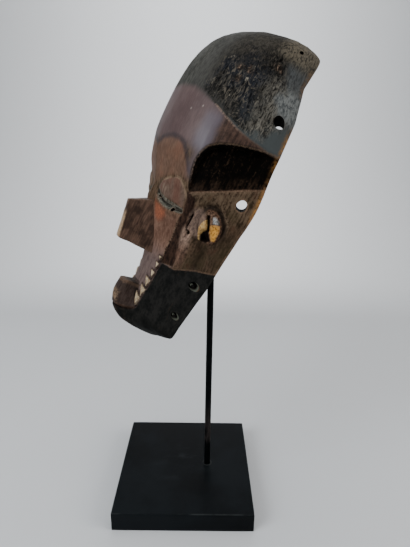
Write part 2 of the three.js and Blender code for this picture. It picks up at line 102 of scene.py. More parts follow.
# Cross sections from chin to crown: height, front at the middle, the corner between face and
# side (out, front), the rim (out, front), and how round the face and the side are
SECTIONS = np.array([
    [1.5, -3, 0, -3, 0, -3, 1, 1],
    [3.5, 13, 6, 8, 9, -3, 0.9, 0.6],
    [8, 26, 13, 16, 21, -3, 0.9, 0.5],
    [13, 30, 16, 20, 36, -3, 0.9, 0.4],
    [17.5, 31, 16, 22, 46, -3, 0.9, 0.3],
    [30, 30.5, 15, 25.5, 49.5, -3, 0.9, 0.3],
    [48, 29, 18, 24.2, 55, -3, 0.9, 0.3],
    [66, 33, 22, 24.2, 60, -3.5, 0.4, 0.3],
    [88, 39.5, 30.5, 29.8, 65, -3, 0.4, 0.3],
    [108, 49.5, 42.5, 34.5, 69, -3.2, 0.3, 0.3],
    [118, 50, 45.5, 36.5, 70, -4.2, 0.3, 0.35],
    [130, 54, 49, 42, 71, -4.8, 0.5, 0.4],
    [143, 59.6, 53, 46, 71.5, -4, 0.75, 0.6],
    [165, 64.5, 53, 47, 71.5, -2, 1, 0.9],
    [190, 65.5, 49, 46, 68.5, -2.5, 1, 1],
    [210, 64, 47, 44, 64.5, -3, 1, 1],
    [224, 61, 44.5, 41, 60.5, -4, 1, 1],
    [236, 56.2, 41, 37.2, 57.5, -5, 1, 1],
    [248, 45.4, 36, 29.3, 53.3, -6, 1, 1],
    [257, 33, 27.5, 19.2, 41.3, -6, 1, 1],
    [268, 13, 13, 5.2, 18, -6, 1, 1],
    [272, 3.2, 7.5, -0.6, 10.1, -6, 1, 1],
    [276, -6, 0, -6, 0, -6, 1, 1],
])
ROUND_CORNER = 0.586 # pull of a curve's middle point that makes a quarter of a circle
SKIN_ROWS = 361
FINE_PLACES = 4001
RIM_WEIGHT = 0.75
FACE_COLUMNS = 44
SIDE_COLUMNS = 58
HOLLOW_ROW_STEP = 3
HOLLOW_COLUMNS = 30
RIM_STRIPS = 3
WELD = 0.002 # points nearer than this are one
RELIEF_REACH = 4 # how many times the surface is evened that relief is measured from
SHARP_WOOD = 58 # degrees between faces from which an edge stays sharp
SHARP_STAND = 40
DRILL_SIDES = 28
DRILL_REACH = 26
DRILL_UNEVEN = (0.05, 0.03)

# Hollow, as the share of the outside that it takes in each direction
HOLLOW_WIDE = 0.86
HOLLOW_DEEP = 0.8
HOLLOW_TALL = 0.93
HOLLOW_CENTRE = 132

# Relief on the outside
CHIP = {"low": 198, "deep": 227, "high": 249, "depth": 6.5}
MUZZLE = {"top": 38.8, "ledge": 2, "middle": 29, "bottom": 3, "out": 10.8, "flat": 6.5, "round": 0.55}
MUZZLE_FOOT = {"top": 10.5, "bottom": 16.4}
LID = {"out": 25.5, "height": 117.5, "wide": 20, "tall": 12.5, "slope": 0.12, "swell": 2}
# Nose wedge from inside the wall: height, front and half width of each line
NOSE = {
    "root": (108.6, 44, 9.5),
    "bridge": (99.4, 63.6, 2.6),
    "tip": (68.7, 59.1, 3.4),
    "foot": (68.1, 27, 12.5),
}
NOSE_CUTS = 26
NOSE_EDGE = 0.9
NOSE_SLOPE = 0.147
# Height of the temple's ledge by how far front it lies
LEDGE = [(-12, 173), (15, 168), (28, 164), (38, 159.5), (45.5, 151), (47, 143)]
LEDGE_FRONT = 43
TEMPLE_FOOT = (146, -0.6)
TEMPLE_DEPTH = 7
SLIT = {"width": 1.4, "depth": 2.2}
EYE_HOLES = [(13.8, 113.2), (31.5, 107)]
EYE_HOLE = {"diameter": 3.2, "front": 45, "reach": 25}
EAR = {"out": 56.5, "front": 15.2, "height": 107.5, "turn": 0.56, "lean": 0.41}
EAR_RADII = {"wide": 8.5, "long": 12}
EAR_FIELD = 30
# Teeth as points (out, height): lower and upper end on the edge of the jaw, and the tip
TEETH = [
    [(14.2, 24.2), (16.6, 31.2), (10.9, 36)],
    [(15.6, 32.6), (18.4, 39.6), (12, 42.8)],
    [(16.8, 41.8), (19.6, 48.4), (13.2, 50.6)],
    [(18.2, 50.8), (20.4, 55.9), (16.4, 57.6)],
    [(19.4, 59), (21.6, 64), (18.5, 65)],
    [(20.6, 66.4), (22.2, 70), (20, 70.2)],
]
TOOTH_PROUD = 1
TOOTH_GAP = 0.8
TOOTH_SINK = 0.6
JAW_EDGE = [(15.6, 23), (17, 32), (19.2, 46), (22.8, 70)]
MOUTH_MIDDLE = 16.5
MOUTH_CORNER = (15.5, 23.5)
# Widths and depths of further carving
MOUTH_LINE = {"width": 1.6, "depth": 1.5}
HAIRLINE_LIP = {"above": 1.2, "width": 5.2, "rise": 0.4}
KNOT = {"radius": 0.8, "width": 3.2, "depth": 2.2, "squeeze": 1.2}
LID_LINE = {"width": 1.5, "depth": 0.35}
LID_EDGE = 0.7
SLIT_FIELD = 0.5
EAR_BEAN = 4.4
EAR_FIELD_DEPTH = 1.2
EAR_SLOT_DEPTH = 3.4
# Cord holes: place, diameter, diameter of a widened mouth and direction of the drill inward
HOLES = [
    ((66.6, 8.7, 192.4), 8.2, 0, (-6.9, -6.6, -2.5)),
    ((67.6, 6.1, 130.6), 8, 0, (-9.3, -4.2, 2.8)),
    ((51.9, 4, 62.5), 2.4, 6.8, (-11.4, -0.3, 1.8)),
    ((45, 3.5, 34.5), 2.2, 5.6, (-11.4, -0.3, 1.8)),
    ((50.5, 9.5, 245.5), 3.2, 0, (-10, -4, -3)),
]
MOUTH_DEPTH = 8
BORE_MARGIN = 0.6
# Way round the mask: where its axis lies in front of the rim, and millimetres to a degree
WAY_AXIS = -3
WAY_SCALE = 1.2
# Skin depth: where its axis lies, places round the mask and rows between two sections
DEPTH_AXIS = -20
DEPTH_PLACES = 61
DEPTH_ROWS = 4
FAR_OFF = 20 # added to a distance where its line doesn't count

# Directions of the mask in the frame, and the place of its chin
FORWARD = np.array([math.sin(MASK_TURN), -math.cos(MASK_TURN), 0])
SIDEWAYS = np.array([math.cos(MASK_TURN), math.sin(MASK_TURN), 0])
UP = np.array([0, 0, 1])
MASK_AXES = np.array([
    SIDEWAYS,
    math.cos(MASK_LEAN) * FORWARD + math.sin(MASK_LEAN) * UP,
    math.cos(MASK_LEAN) * UP - math.sin(MASK_LEAN) * FORWARD,
])
MASK_START = np.array([0, ROD_OFFSET, 0]) + CHIN_HEIGHT * UP + CHIN_FORWARD * FORWARD


def smooth(low, high, value):
    """0 up to low and 1 from high on, smoothly; high may be the smaller."""
    t = np.clip((value - low) / (high - low), 0, 1)
    return t * t * (3 - 2 * t)


def slopes_of(values):
    """Slopes of a monotone cubic through the rows, by harmonic means."""
    steps = np.diff(values, axis=0)
    before, after = steps[:-1], steps[1:]
    product = before * after
    total = np.where(product > 0, before + after, 1)
    inner = np.where(product > 0, 2 * product / total, 0)
    return np.vstack([steps[:1], inner, steps[-1:]])


SLOPES = slopes_of(SECTIONS)


def section_at(place):
    """Section values at places counted in rows, one column of the result for each."""
    i = np.clip(np.floor(place).astype(int), 0, len(SECTIONS) - 2)
    t = (place - i)[..., None]
    rise = t * t * (3 - 2 * t)
    bend = t * (1 - t)
    curve = SECTIONS[i] * (1 - rise) + SECTIONS[i + 1] * rise
    return curve + bend * ((1 - t) * SLOPES[i] - t * SLOPES[i + 1])


def arc_point(section, share):
    """Out and front on the curve from the middle of the face over the corner to the rim."""
    front, corner_out, corner_front, rim_out, rim_front, face, side = np.moveaxis(section, -1, 0)[1:]
    t = np.where(share <= 1, share, share - 1)

    def bezier(a, b, c):
        return (1 - t) ** 2 * a + 2 * t * (1 - t) * b + t * t * c

    face_out = corner_out * (0.5 + face * (ROUND_CORNER - 0.5))
    face_front = (front + corner_front) / 2 * (1 - face) + front * face
    side_out = (corner_out + rim_out) / 2 * (1 - side) + rim_out * side
    full = rim_front + ROUND_CORNER * (corner_front - rim_front)
    side_front = (corner_front + rim_front) / 2 * (1 - side) + full * side
    on_face = share <= 1
    out = np.where(on_face, bezier(0, face_out, corner_out), bezier(corner_out, side_out, rim_out))
    forward = np.where(
        on_face, bezier(front, face_front, corner_front), bezier(corner_front, side_front, rim_front)
    )
    return out, forward


def muzzle_foot(height):
    share = (height - MUZZLE["bottom"]) / (MUZZLE["top"] - MUZZLE["bottom"])
    return MUZZLE_FOOT["bottom"] + (MUZZLE_FOOT["top"] - MUZZLE_FOOT["bottom"]) * share


def muzzle_out(out, height):
    """How far the muzzle stands out, with its flat top and its round foot."""
    above = 1 - smooth(MUZZLE["top"], MUZZLE["top"] + MUZZLE["ledge"], height)
    below = smooth(MUZZLE["bottom"], MUZZLE["middle"], height) ** MUZZLE["round"]
    across = smooth(muzzle_foot(height), MUZZLE["flat"], np.abs(out))
    return MUZZLE["out"] * above * below * across


def lid_out(out, height):
    beside = np.abs(out) - LID["out"]
    across = beside / LID["wide"]
    up = (height - LID["height"] - LID["slope"] * beside) / LID["tall"]
    return LID["swell"] * np.maximum(0, 1 - across**2 - up**2) ** 0.8


def chip_in(out, height):
    """How far the broken length of the rim is drawn in, on the near side alone."""
    low, deep, high = CHIP["low"], CHIP["deep"], CHIP["high"]
    share = np.where(height < deep, (height - low) / (deep - low), (high - height) / (high - deep))
    return np.where(out > 0, CHIP["depth"] * np.clip(share, 0, 1), 0)


def plain_skin(place, side):
    """Out, front and height of the mask's form before the carving."""
    section = section_at(place)
    share = np.abs(side)
    out, front = arc_point(section, share)
    height = section[..., 0]
    out = np.sign(side) * out
    beyond = np.clip(share - 1, 0, 1) ** 2
    raised = front + muzzle_out(out, height) + lid_out(out, height)
    return np.stack([out - chip_in(out, height) * beyond, raised, height], -1)


def hollow_skin(place, side):
    """Out, front and height on the hollow, which is the outside drawn in."""
    section = section_at(place)
    out, front = arc_point(section, np.abs(side))
    rim = section[..., 5]
    return np.stack([
        np.sign(side) * out * HOLLOW_WIDE,
        rim + (front - rim) * HOLLOW_DEEP,
        HOLLOW_CENTRE + (section[..., 0] - HOLLOW_CENTRE) * HOLLOW_TALL,
    ], -1)


# Distances to drawn lines, in millimetres
def line_distance(x, y, line):
    """Distance to the nearest piece of a line through points."""
    nearest = np.full(np.shape(x), 1e9)
    for (ax, ay), (bx, by) in zip(line[:-1], line[1:]):
        dx, dy = bx - ax, by - ay
        t = np.clip(((x - ax) * dx + (y - ay) * dy) / (dx * dx + dy * dy), 0, 1)
        nearest = np.minimum(nearest, np.hypot(x - ax - t * dx, y - ay - t * dy))
    return nearest


def within(x, y, outline):
    """Distance to an outline, positive inside it."""
    closed = outline + [outline[0]]
    crossings = np.zeros(np.shape(x), int)
    for (ax, ay), (bx, by) in zip(closed[:-1], closed[1:]):
        if ay == by:
            continue
        spans = (ay > y) != (by > y)
        crossings += spans & (x < (bx - ax) * (y - ay) / (by - ay) + ax)
    return line_distance(x, y, closed) * np.where(crossings % 2 == 1, 1, -1)


class Lattice:
    """Smooth noise on a lattice of seeded random values."""

    def __init__(self, seed, size=32):
        self.size = size
        self.values = np.random.default_rng(seed).random((size, size, size)) * 2 - 1

    def __call__(self, points, spacing):
        scaled = points / np.asarray(spacing, float)
        cell = np.floor(scaled).astype(int)
        t = scaled - cell
        t = t * t * (3 - 2 * t)
        total = 0
        for corner in np.ndindex(2, 2, 2):
            weight = np.prod(np.where(np.array(corner) == 1, t, 1 - t), axis=-1)
            x, y, z = np.moveaxis((cell + corner) % self.size, -1, 0)
            total = total + weight * self.values[x, y, z]
        return total


WOBBLE = Lattice(3)
ADZE = Lattice(11)


def around(points):
    """Way round the mask from the middle of the face, in millimetres at the widest part."""
    return np.degrees(np.arctan2(np.abs(points[..., 0]), points[..., 1] - WAY_AXIS)) * WAY_SCALE


def at_side(*points):
    """Points (out, front, height) as (way round, height)."""
    return [(float(around(np.array(point, float))), point[2]) for point in points]


HAIRLINE = at_side(
    (0, 64, 194), (25.3, 60.2, 192.4), (34.9, 56.1, 189.3), (47.2, 48.7, 184.3), (54.7, 42.2, 179.5),
    (62, 32.7, 174.6), (66.8, 22.7, 172.2), (70.4, 8.6, 170.4), (70.9, -3, 171),
)
TEMPLE_LEDGE = at_side(
    (48.4, 40.2, 126.2), (50.7, 43.3, 133.4), (53.1, 46.4, 143.5), (53.9, 45.6, 150.4),
    (55.5, 43.6, 155.8), (59.6, 37.7, 160.8), (64.8, 28.4, 164.7), (69, 16.2, 168.1),
    (70.9, 1.1, 171.5), (71, -6, 173),
)
TEMPLE_LINE = at_side(
    (47.8, 38.2, 122.8), (55.6, 30.7, 128), (63.2, 20.5, 134.2), (68.7, 9.7, 140.9), (71.4, -6, 149),
)
TEMPLE_PAINT = at_side((47.8, 38.2, 125), (60, 27.4, 133), (66.5, 16.8, 139.5), (71.3, -6, 151))
FACE_CORNER = at_side(
    (46.8, 40, 123.9), (45.7, 37, 117.5), (44.2, 35, 108.5), (39.2, 33.9, 100), (34, 30.9, 87.8),
    (26.1, 27.9, 76.3), (23, 25, 66.2),
)
CRACK = at_side((49.4, 29.2, 109.7), (47.2, 28.3, 103.3), (45.8, 27.1, 99), (46.7, 24.7, 97))
STRIP_EDGE = at_side((50.4, 33.5, 121), (49.4, 29.2, 109.7), (46.7, 24.7, 97), (33.9, 19, 68.1))
CHEEK_RIDGE = at_side((48.2, 27, 96), (43.9, 23.8, 90.8), (37.5, 16.7, 70))
EAR_VALLEY = at_side((54.8, 16.1, 97), (55.4, 10, 86), (50, 9, 76))
JAW_LINE = at_side((22.4, 25.1, 65.7), (36, 17.1, 66.6), (48.7, 9.5, 72.1), (62.7, -3.5, 78.4))
SIDE_HAIRLINE = HAIRLINE[3:]
TEMPLE_FIELD = TEMPLE_LEDGE + TEMPLE_LINE[::-1]
STRIP = FACE_CORNER + STRIP_EDGE[::-1]
# Lines carved in the side, with their widths and depths; a ridge has a depth below nothing
SIDE_LINES = [
    (TEMPLE_LINE, 1.3, 0.8),
    (SIDE_HAIRLINE, 1.2, 0.55),
    (CRACK, 1.4, 1.7),
    (STRIP_EDGE, 3.0, 0.9),
    (CHEEK_RIDGE, 11.0, -1.9),
    (EAR_VALLEY, 10.0, 2.4),
    (JAW_LINE, 1.2, 0.45),
]
HACKED = at_side(
    (35.5, 54.3, 200), (37.5, 49, 219), (46, 35.2, 231), (52.5, 20, 231), (58.5, 20, 215),
    (62, 20, 201), (65.5, 14.5, 194), (68.5, 17, 175), (60.7, 33.2, 176), (50, 45.9, 182),
    (38.3, 54.8, 187.7),
)
# Worn spots on the cap, with how far each reaches
WORN_SPOTS = at_side((45.8, 43.6, 214.9), (48.1, 43.7, 206.6), (49.8, 38.4, 215.6), (53.8, 21.4, 226.8))
WORN_REACH = 7
NICKS = at_side((32.2, 58.9, 176.6), (40.4, 54.3, 180.4))
SPLINTER = at_side((51.5, 27, 103.5), (52.5, 25, 98), (50.5, 24, 93), (48.5, 25.5, 95), (50, 26.5, 99))

# Outlines on the face, as points (out, height)
BROW_ARCH = [(0, 149.4), (12, 154), (24.8, 155.8), (33, 155), (38.8, 152.5), (44.5, 144.7), (48.6, 136.2)]
BROW = BROW_ARCH + [(47, 129), (38, 131), (25, 128.5), (6, 123), (0, 119)]
LID_TOP = [
    (9.5, 115), (11.5, 120), (17, 124.4), (25.5, 127.4), (34.6, 129.7), (38.9, 129.2), (41.9, 126),
    (44.3, 120.6), (43.5, 115.2), (42.4, 109.2),
]
SLIT_LINE = [(9, 115.6), (13.2, 113.2), (18.5, 110), (24, 108.2), (32, 107.6), (40.8, 108.4)]
SLIT_BAND = [
    (6.4, 116.4), (12, 117.8), (17.5, 115.2), (24, 113), (31.7, 112.2), (38.7, 111.7), (42.6, 111),
    (43.2, 108), (39.2, 106.4), (30.4, 105.2), (22, 105.8), (14.5, 109),
]
LID_OUTLINE = LID_TOP + [(38.7, 111.7), (31.7, 112.2), (24, 113), (17.5, 115.2), (12, 117.8)]
UNDER_EYE = [(11.5, 108), (18.2, 105.6), (24, 104), (24, 101), (20, 97.5), (15, 95), (12, 97)]

# Outlines on the ear, in millimetres from its middle, as points (across, along)
EAR_SLOT = [(0.5, -2), (0.9, 7.6)]
EAR_POCKET = [(1.2, -0.6), (0.2, -3.6), (-0.8, -9.8), (3.4, -11.2), (7.3, -9.8), (7.4, -3.2), (4.2, -0.8)]
EAR_CRESCENT = [
    (1.4, 5.8), (0.8, 1.6), (2.2, -2.2), (5.4, -3.4), (7.6, -5.5), (8, -9.8), (9.2, -8.4), (9.1, -3.6),
    (7.8, 0.2), (4.8, 3.6),
]
EAR_FACET = [(-0.2, 1), (-4.2, 1.4), (-7.4, 0.6), (-7, -3.6), (-3.6, -10.2), (-1, -9.8), (0.2, -3.6)]
EAR_CHALK = [(-2, 7.2), (-4.7, 7), (-7.2, 3.6), (-7.2, 1.6), (-2.4, 1.7)]
EAR_ARCH = [(15, 6), (12.5, 10.4), (7, 13.6), (1.2, 14.6), (-5, 12.8), (-9, 9.6), (-11.6, 5.9), (-12.6, 1)]
# Areas of the ear: outline, how far they rise, and between which distances inside it they do
EAR_AREAS = [(EAR_POCKET, -4.6, -0.7, 1.8), (EAR_FACET, -1.1, -0.4, 2.2), (EAR_CRESCENT, 0.7, -0.4, 0.6)]

# Zones that are distances to drawn lines or outlines alone, by their names
SIDE_ZONE_LINES = {
    "temple_line": TEMPLE_LINE, "ledge": TEMPLE_LEDGE, "hair_line": SIDE_HAIRLINE, "corner": FACE_CORNER,
    "ridge": CHEEK_RIDGE, "valley": EAR_VALLEY, "jaw_line": JAW_LINE,
}
SIDE_ZONE_AREAS = {
    "temple": TEMPLE_LEDGE + TEMPLE_PAINT[::-1], "temple_field": TEMPLE_FIELD,
    "strip": STRIP, "splinter": SPLINTER,
}
FACE_ZONE_LINES = {"brow_arch": BROW_ARCH, "lid_top": LID_TOP, "slit": SLIT_LINE}
FACE_ZONE_AREAS = {"brow": BROW, "lid": LID_OUTLINE, "slit_band": SLIT_BAND, "under_eye": UNDER_EYE}
EAR_ZONE_LINES = {"ear_slot": EAR_SLOT, "ear_arch": EAR_ARCH}
EAR_ZONE_AREAS = {
    "ear_pocket": EAR_POCKET, "ear_crescent": EAR_CRESCENT, "ear_facet": EAR_FACET,
    "ear_chalk": EAR_CHALK,
}


def near_half(points):
    """The points, with those of the far half mirrored onto the near one."""
    return np.concatenate([np.abs(points[..., :1]), points[..., 1:]], -1)


def temple_in(points):
    """Depth of the hollow temple under its sharp ledge."""
    front = points[..., 1]
    height = points[..., 2]
    way = around(points)
    foot = TEMPLE_FOOT[0] + TEMPLE_FOOT[1] * front
    top = np.interp(np.minimum(front, LEDGE_FRONT), *zip(*LEDGE))
    share = (height - foot) / np.maximum(4, top - foot)
    depth = TEMPLE_DEPTH * smooth(-2, 12, front) * np.clip(share, 0, 1) ** 0.7
    wall = smooth(0, 1.3, line_distance(way, height, TEMPLE_LEDGE))
    return np.where(within(way, height, TEMPLE_FIELD) > 0, depth * wall, 0)


def groove(distance, width, depth):
    """Depth of a rounded groove at a distance from its middle, less than nothing where it sinks."""
    return -depth * np.exp(-((distance / (width / 2)) ** 2))


def ear_plane(points):
    """Place on the ear in millimetres across and along it, and whether the ear is near at all."""
    turn, lean = EAR["turn"], EAR["lean"]
    to_front = np.array([-math.sin(turn), math.cos(turn), 0])
    long = to_front * math.sin(lean) + UP * math.cos(lean)
    wide = to_front * math.cos(lean) - UP * math.sin(lean)
    offset = near_half(points) - (EAR["out"], EAR["front"], EAR["height"])
    return offset @ wide, offset @ long, np.linalg.norm(offset, axis=-1) < EAR_FIELD


def ear_out(points):
    """Bean boss with its slot, pocket and facet, in a sunk field under an arch line."""
    across, along, near = ear_plane(points)
    radius = np.hypot(along / EAR_RADII["long"], across / EAR_RADII["wide"])
    raised = EAR_BEAN * np.maximum(0, 1 - radius**2.6) ** 0.55
    field = groove(radius - 1.2, 0.36, EAR_FIELD_DEPTH)
    raised = raised + field * smooth(12, -6, across) * smooth(-12, 2, along)
    raised = raised - EAR_SLOT_DEPTH * smooth(1.5, 0.3, line_distance(across, along, EAR_SLOT))
    for outline, rise, outer, inner in EAR_AREAS:
        raised = raised + rise * smooth(outer, inner, within(across, along, outline))
    raised = raised + groove(line_distance(across, along, EAR_ARCH), 1.1, 0.8)
    return np.where(near, raised, 0)


def tooth_inside(points):
    """Distance inside the nearest tooth, whose foot reaches a little past the edge of the jaw."""
    out = np.abs(points[..., 0])
    nearest = np.full(out.shape, -1e9)
    for low, high, tip in TEETH:
        outline = [(low[0] + TOOTH_SINK, low[1]), (high[0] + TOOTH_SINK, high[1]), tip]
        nearest = np.maximum(nearest, within(out, points[..., 2], outline))
    return nearest


def mouth_height(out):
    """Height of the mouth line, which rises toward its corners."""
    share = np.clip(np.abs(out) / MOUTH_CORNER[0], 0, 1)
    return MOUTH_MIDDLE + (MOUTH_CORNER[1] - MOUTH_MIDDLE) * share**4


def on_face(points, margin=6):
    """How surely a point is on the face and not on the side."""
    corner = np.interp(points[..., 2], SECTIONS[:, 0], SECTIONS[:, 2])
    return smooth(corner + margin, corner, np.abs(points[..., 0]))


def carving(points):
    """Distance that the carving raises or sinks the skin."""
    out = np.abs(points[..., 0])
    height = points[..., 2]
    way = around(points)
    face = on_face(points)
    raised = ear_out(points) - temple_in(points)
    for line, width, depth in SIDE_LINES:
        raised = raised + groove(line_distance(way, height, line), width, depth)
    lip = line_distance(way, height - HAIRLINE_LIP["above"], SIDE_HAIRLINE)
    raised = raised + groove(lip, HAIRLINE_LIP["width"], -HAIRLINE_LIP["rise"])
    knot = spot_distance(way, height, CRACK[-1:], KNOT["squeeze"])
    raised = raised + groove(knot, KNOT["width"], KNOT["depth"])
    tooth = tooth_inside(points)
    beside = smooth(-2.2, -0.6, tooth) * (1 - smooth(-0.6, 0.0, tooth))
    raised = raised + TOOTH_PROUD * smooth(-0.25, 0.5, tooth) - TOOTH_GAP * beside * face
    mouth = groove(np.abs(height - mouth_height(out)), MOUTH_LINE["width"], MOUTH_LINE["depth"])
    raised = raised + mouth * smooth(MOUTH_CORNER[0] + 1.2, MOUTH_CORNER[0], out)
    slit = line_distance(out, height, SLIT_LINE)
    eye = -SLIT["depth"] * smooth(SLIT["width"] + 1, SLIT["width"] - 1, slit)
    eye = eye + LID_EDGE * smooth(-0.6, 3.4, within(out, height, LID_OUTLINE))
    eye = eye - SLIT_FIELD * smooth(-0.4, 1.6, within(out, height, SLIT_BAND))
    eye = eye + groove(line_distance(out, height, LID_TOP[2:]), LID_LINE["width"], LID_LINE["depth"])
    return raised + eye * face


def spot_distance(way, height, spots, squeeze=1.0):
    """Distance to the nearest of some spots, whose height counts more or less than their width."""
    return np.min([np.hypot(way - spot[0], (height - spot[1]) * squeeze) for spot in spots], axis=0)


def worn_spots(way, height):
    """How near a point is to a worn spot of the cap, from 0 to 1."""
    return np.clip(1 - spot_distance(way, height, WORN_SPOTS, 1.3) / WORN_REACH, 0, 1)


def above_hairline(points):
    """Height above the hair line."""
    return points[..., 2] - np.interp(around(points), *zip(*HAIRLINE))


def cap_roughness(points):
    """How hacked the cap is: smooth along its front and top and near the rim."""
    way = around(points) + WOBBLE(points + 61, 12) * 9
    height = points[..., 2] + ADZE(points + 23, 14) * 9
    return smooth(-11, 5, within(way, height, HACKED)) * smooth(-1, 3, above_hairline(points))


def tool_marks(points):
    """Shallow facets and knocks, lightest on the polished forehead, and the hacked cap."""
    way = around(points)
    height = points[..., 2]
    polished = smooth(118, 130, height) * smooth(200, 188, height) * smooth(64, 58, way)
    hacked = cap_roughness(points)
    facets = ADZE(points, (9, 9, 16)) * 0.35 + WOBBLE(points, (4, 4, 9)) * 0.16
    fine = ADZE(points + 40, (1.8, 1.8, 5)) * 0.10
    pits = np.minimum(0, WOBBLE(points + 17, (1.5, 1.5, 3)) + 0.25) * 0.8 * hacked
    cuts = np.minimum(0, ADZE(points + 90, (1.5, 1.5, 9)) + 0.2) * 1.3 * hacked
    return facets * (1 - 0.7 * polished) + fine * (1 - 0.8 * polished) + pits + cuts


def grid_normals(points):
    """Unit normals of a grid of points."""
    across = np.gradient(points, axis=1)
    up = np.gradient(points, axis=0)
    normal = np.cross(up, across)
    length = np.linalg.norm(normal, axis=-1, keepdims=True)
    return normal / np.maximum(length, 1e-9)


def row_places():
    """Places of the rows, evenly spaced over the mask's front and rim together."""
    fine = np.linspace(0, len(SECTIONS) - 1, FINE_PLACES)
    section = section_at(fine)
    front = np.hypot(np.diff(section[:, 0]), np.diff(section[:, 1]))
    rim = np.hypot(np.diff(section[:, 0]), np.diff(section[:, 4]))
    length = np.concatenate([[0], np.cumsum(np.maximum(front, RIM_WEIGHT * rim) + 1e-6)])
    return np.interp(np.linspace(0, length[-1], SKIN_ROWS), length, fine)


def side_places(face, side):
    """Places round one row, from one rim to the other."""
    half = np.concatenate([np.linspace(0, 1, face + 1)[1:], 1 + np.linspace(0, 1, side + 1)[1:]])
    return np.concatenate([-half[::-1], [0], half])


def grid_faces(rows, columns, start):
    """Quads between the rows of a grid whose points are counted from a start."""
    first = start + np.arange(rows - 1)[:, None] * columns + np.arange(columns - 1)[None, :]
    quads = np.stack([first, first + columns, first + columns + 1, first + 1], -1)
    return quads.reshape(-1, 4).tolist()


def rim_wear(points):
    """Worn and split edge of the back rim, plain at the chin and the crown."""
    wear = WOBBLE(points + 5, (3, 3, 6)) * 0.5 + ADZE(points, (7, 7, 12)) * 0.7
    return wear * smooth(4, 14, points[:, 2]) * smooth(274, 266, points[:, 2])


def skin_grid(places):
    """Points of the carved and worn outside, row by row."""
    place, side = np.meshgrid(places, side_places(FACE_COLUMNS, SIDE_COLUMNS), indexing="ij")
    skin = plain_skin(place, side)
    height = skin[..., 2]
    taper = smooth(0, 7, height) * smooth(277, 271, height)
    off_rim = smooth(2.0, 1.93, np.abs(side))
    raised = (carving(skin) + tool_marks(skin)) * taper * (0.35 + 0.65 * off_rim)
    return skin + grid_normals(skin) * raised[..., None]


def hollow_grid(places):
    """Points of the hollow with its gouge marks, on some of the rows of the outside."""
    sides = side_places(HOLLOW_COLUMNS // 2, HOLLOW_COLUMNS // 2)
    place, side = np.meshgrid(places[::HOLLOW_ROW_STEP], sides, indexing="ij")
    hollow = hollow_skin(place, side)
    marks = ADZE(hollow + 31, (7, 7, 13)) * 0.9 + WOBBLE(hollow, (3.5, 3.5, 7)) * 0.3
    return hollow + grid_normals(hollow) * (marks * smooth(2.0, 1.8, np.abs(side)))[..., None]


def mask_mesh():
    """Closed mesh of the mask: carved skin, worn rim and hollow."""
    places = row_places()
    skin = skin_grid(places)
    hollow = hollow_grid(places)
    rows, columns = skin.shape[:2]
    inner_rows, inner_columns = hollow.shape[:2]
    points = skin.reshape(-1, 3).tolist()
    faces = grid_faces(rows, columns, 0)
    skin_faces = len(faces)
    inner_start = len(points)
    points += hollow.reshape(-1, 3).tolist()
    faces += [face[::-1] for face in grid_faces(inner_rows, inner_columns, inner_start)]

    def rim_band(j, inner_j, flip):
        """Strips from the outside's edge to the hollow's edge, the last with fewer rows."""
        previous = [i * columns + j for i in range(rows)]
        edge = skin[:, j]
        kept = np.arange(0, rows, HOLLOW_ROW_STEP)
        target = np.stack([np.interp(np.arange(rows), kept, line) for line in hollow[:, inner_j].T], -1)
        for strip in range(1, RIM_STRIPS):
            share = strip / RIM_STRIPS
            rounding = math.sin(math.pi * share)
            line = edge * (1 - share) + target * share
            line[:, 1] += (rim_wear(line) * 0.6 - 0.2) * rounding
            start = len(points)
            points.extend(line.tolist())
            current = [start + i for i in range(rows)]
            for i in range(rows - 1):
                quad = [previous[i], current[i], current[i + 1], previous[i + 1]]
                faces.append(quad[::-1] if flip else quad)
            previous = current
        middle = HOLLOW_ROW_STEP // 2 + 1
        for i in range(inner_rows - 1):
            fan = [previous[i * HOLLOW_ROW_STEP + k] for k in range(HOLLOW_ROW_STEP + 1)]
            low = inner_start + i * inner_columns + inner_j
            high = low + inner_columns
            triangles = [[fan[k], low, fan[k + 1]] for k in range(middle)]
            triangles.append([fan[middle], low, high])
            triangles += [[fan[k], high, fan[k + 1]] for k in range(middle, HOLLOW_ROW_STEP)]
            faces.extend([t[::-1] for t in triangles] if flip else triangles)

    rim_band(columns - 1, inner_columns - 1, True)
    rim_band(0, 0, False)
    return points, faces, skin_faces


def placed(points):
    """Mask directions, in millimetres, to the frame, in metres."""
    return (MASK_START + np.asarray(points, float) @ MASK_AXES) * MM


def linked(name, data):
    """New object in the scene."""
    item = bpy.data.objects.new(name, data)
    bpy.context.scene.collection.objects.link(item)
    return item


def new_piece(name, points, faces, materials=(), face_materials=None):
    """Object from points in metres; points that coincide are joined and faces turned outward."""
    mesh = bpy.data.meshes.new(name)
    mesh.from_pydata(np.asarray(points).tolist(), [], faces)
    for material in materials:
        mesh.materials.append(material)
    if face_materials is not None:
        mesh.polygons.foreach_set("material_index", face_materials)
    tidy = bmesh.new()
    tidy.from_mesh(mesh)
    bmesh.ops.remove_doubles(tidy, verts=tidy.verts, dist=WELD * MM)
    bmesh.ops.recalc_face_normals(tidy, faces=tidy.faces)
    tidy.to_mesh(mesh)
    tidy.free()
    return linked(name, mesh)


def rounded_box(cuts, size, radius):
    """Points from -1 to 1 and faces of a box with rounded edges, for mapping onto a form."""
    box = bmesh.new()
    bmesh.ops.create_cube(box, size=2)
    bmesh.ops.subdivide_edges(box, edges=box.edges, cuts=cuts, use_grid_fill=True)
    points = np.array([vertex.co for vertex in box.verts])
    faces = [[vertex.index for vertex in face.verts] for face in box.faces]
    box.free()
    half = np.array(size) / 2
    full = points * half
    inner = np.clip(full, -half + radius, half - radius)
    offset = full - inner
    length = np.linalg.norm(offset, axis=1, keepdims=True)
    rounded = inner + radius * offset / np.maximum(length, 1e-9)
    return rounded / half, faces


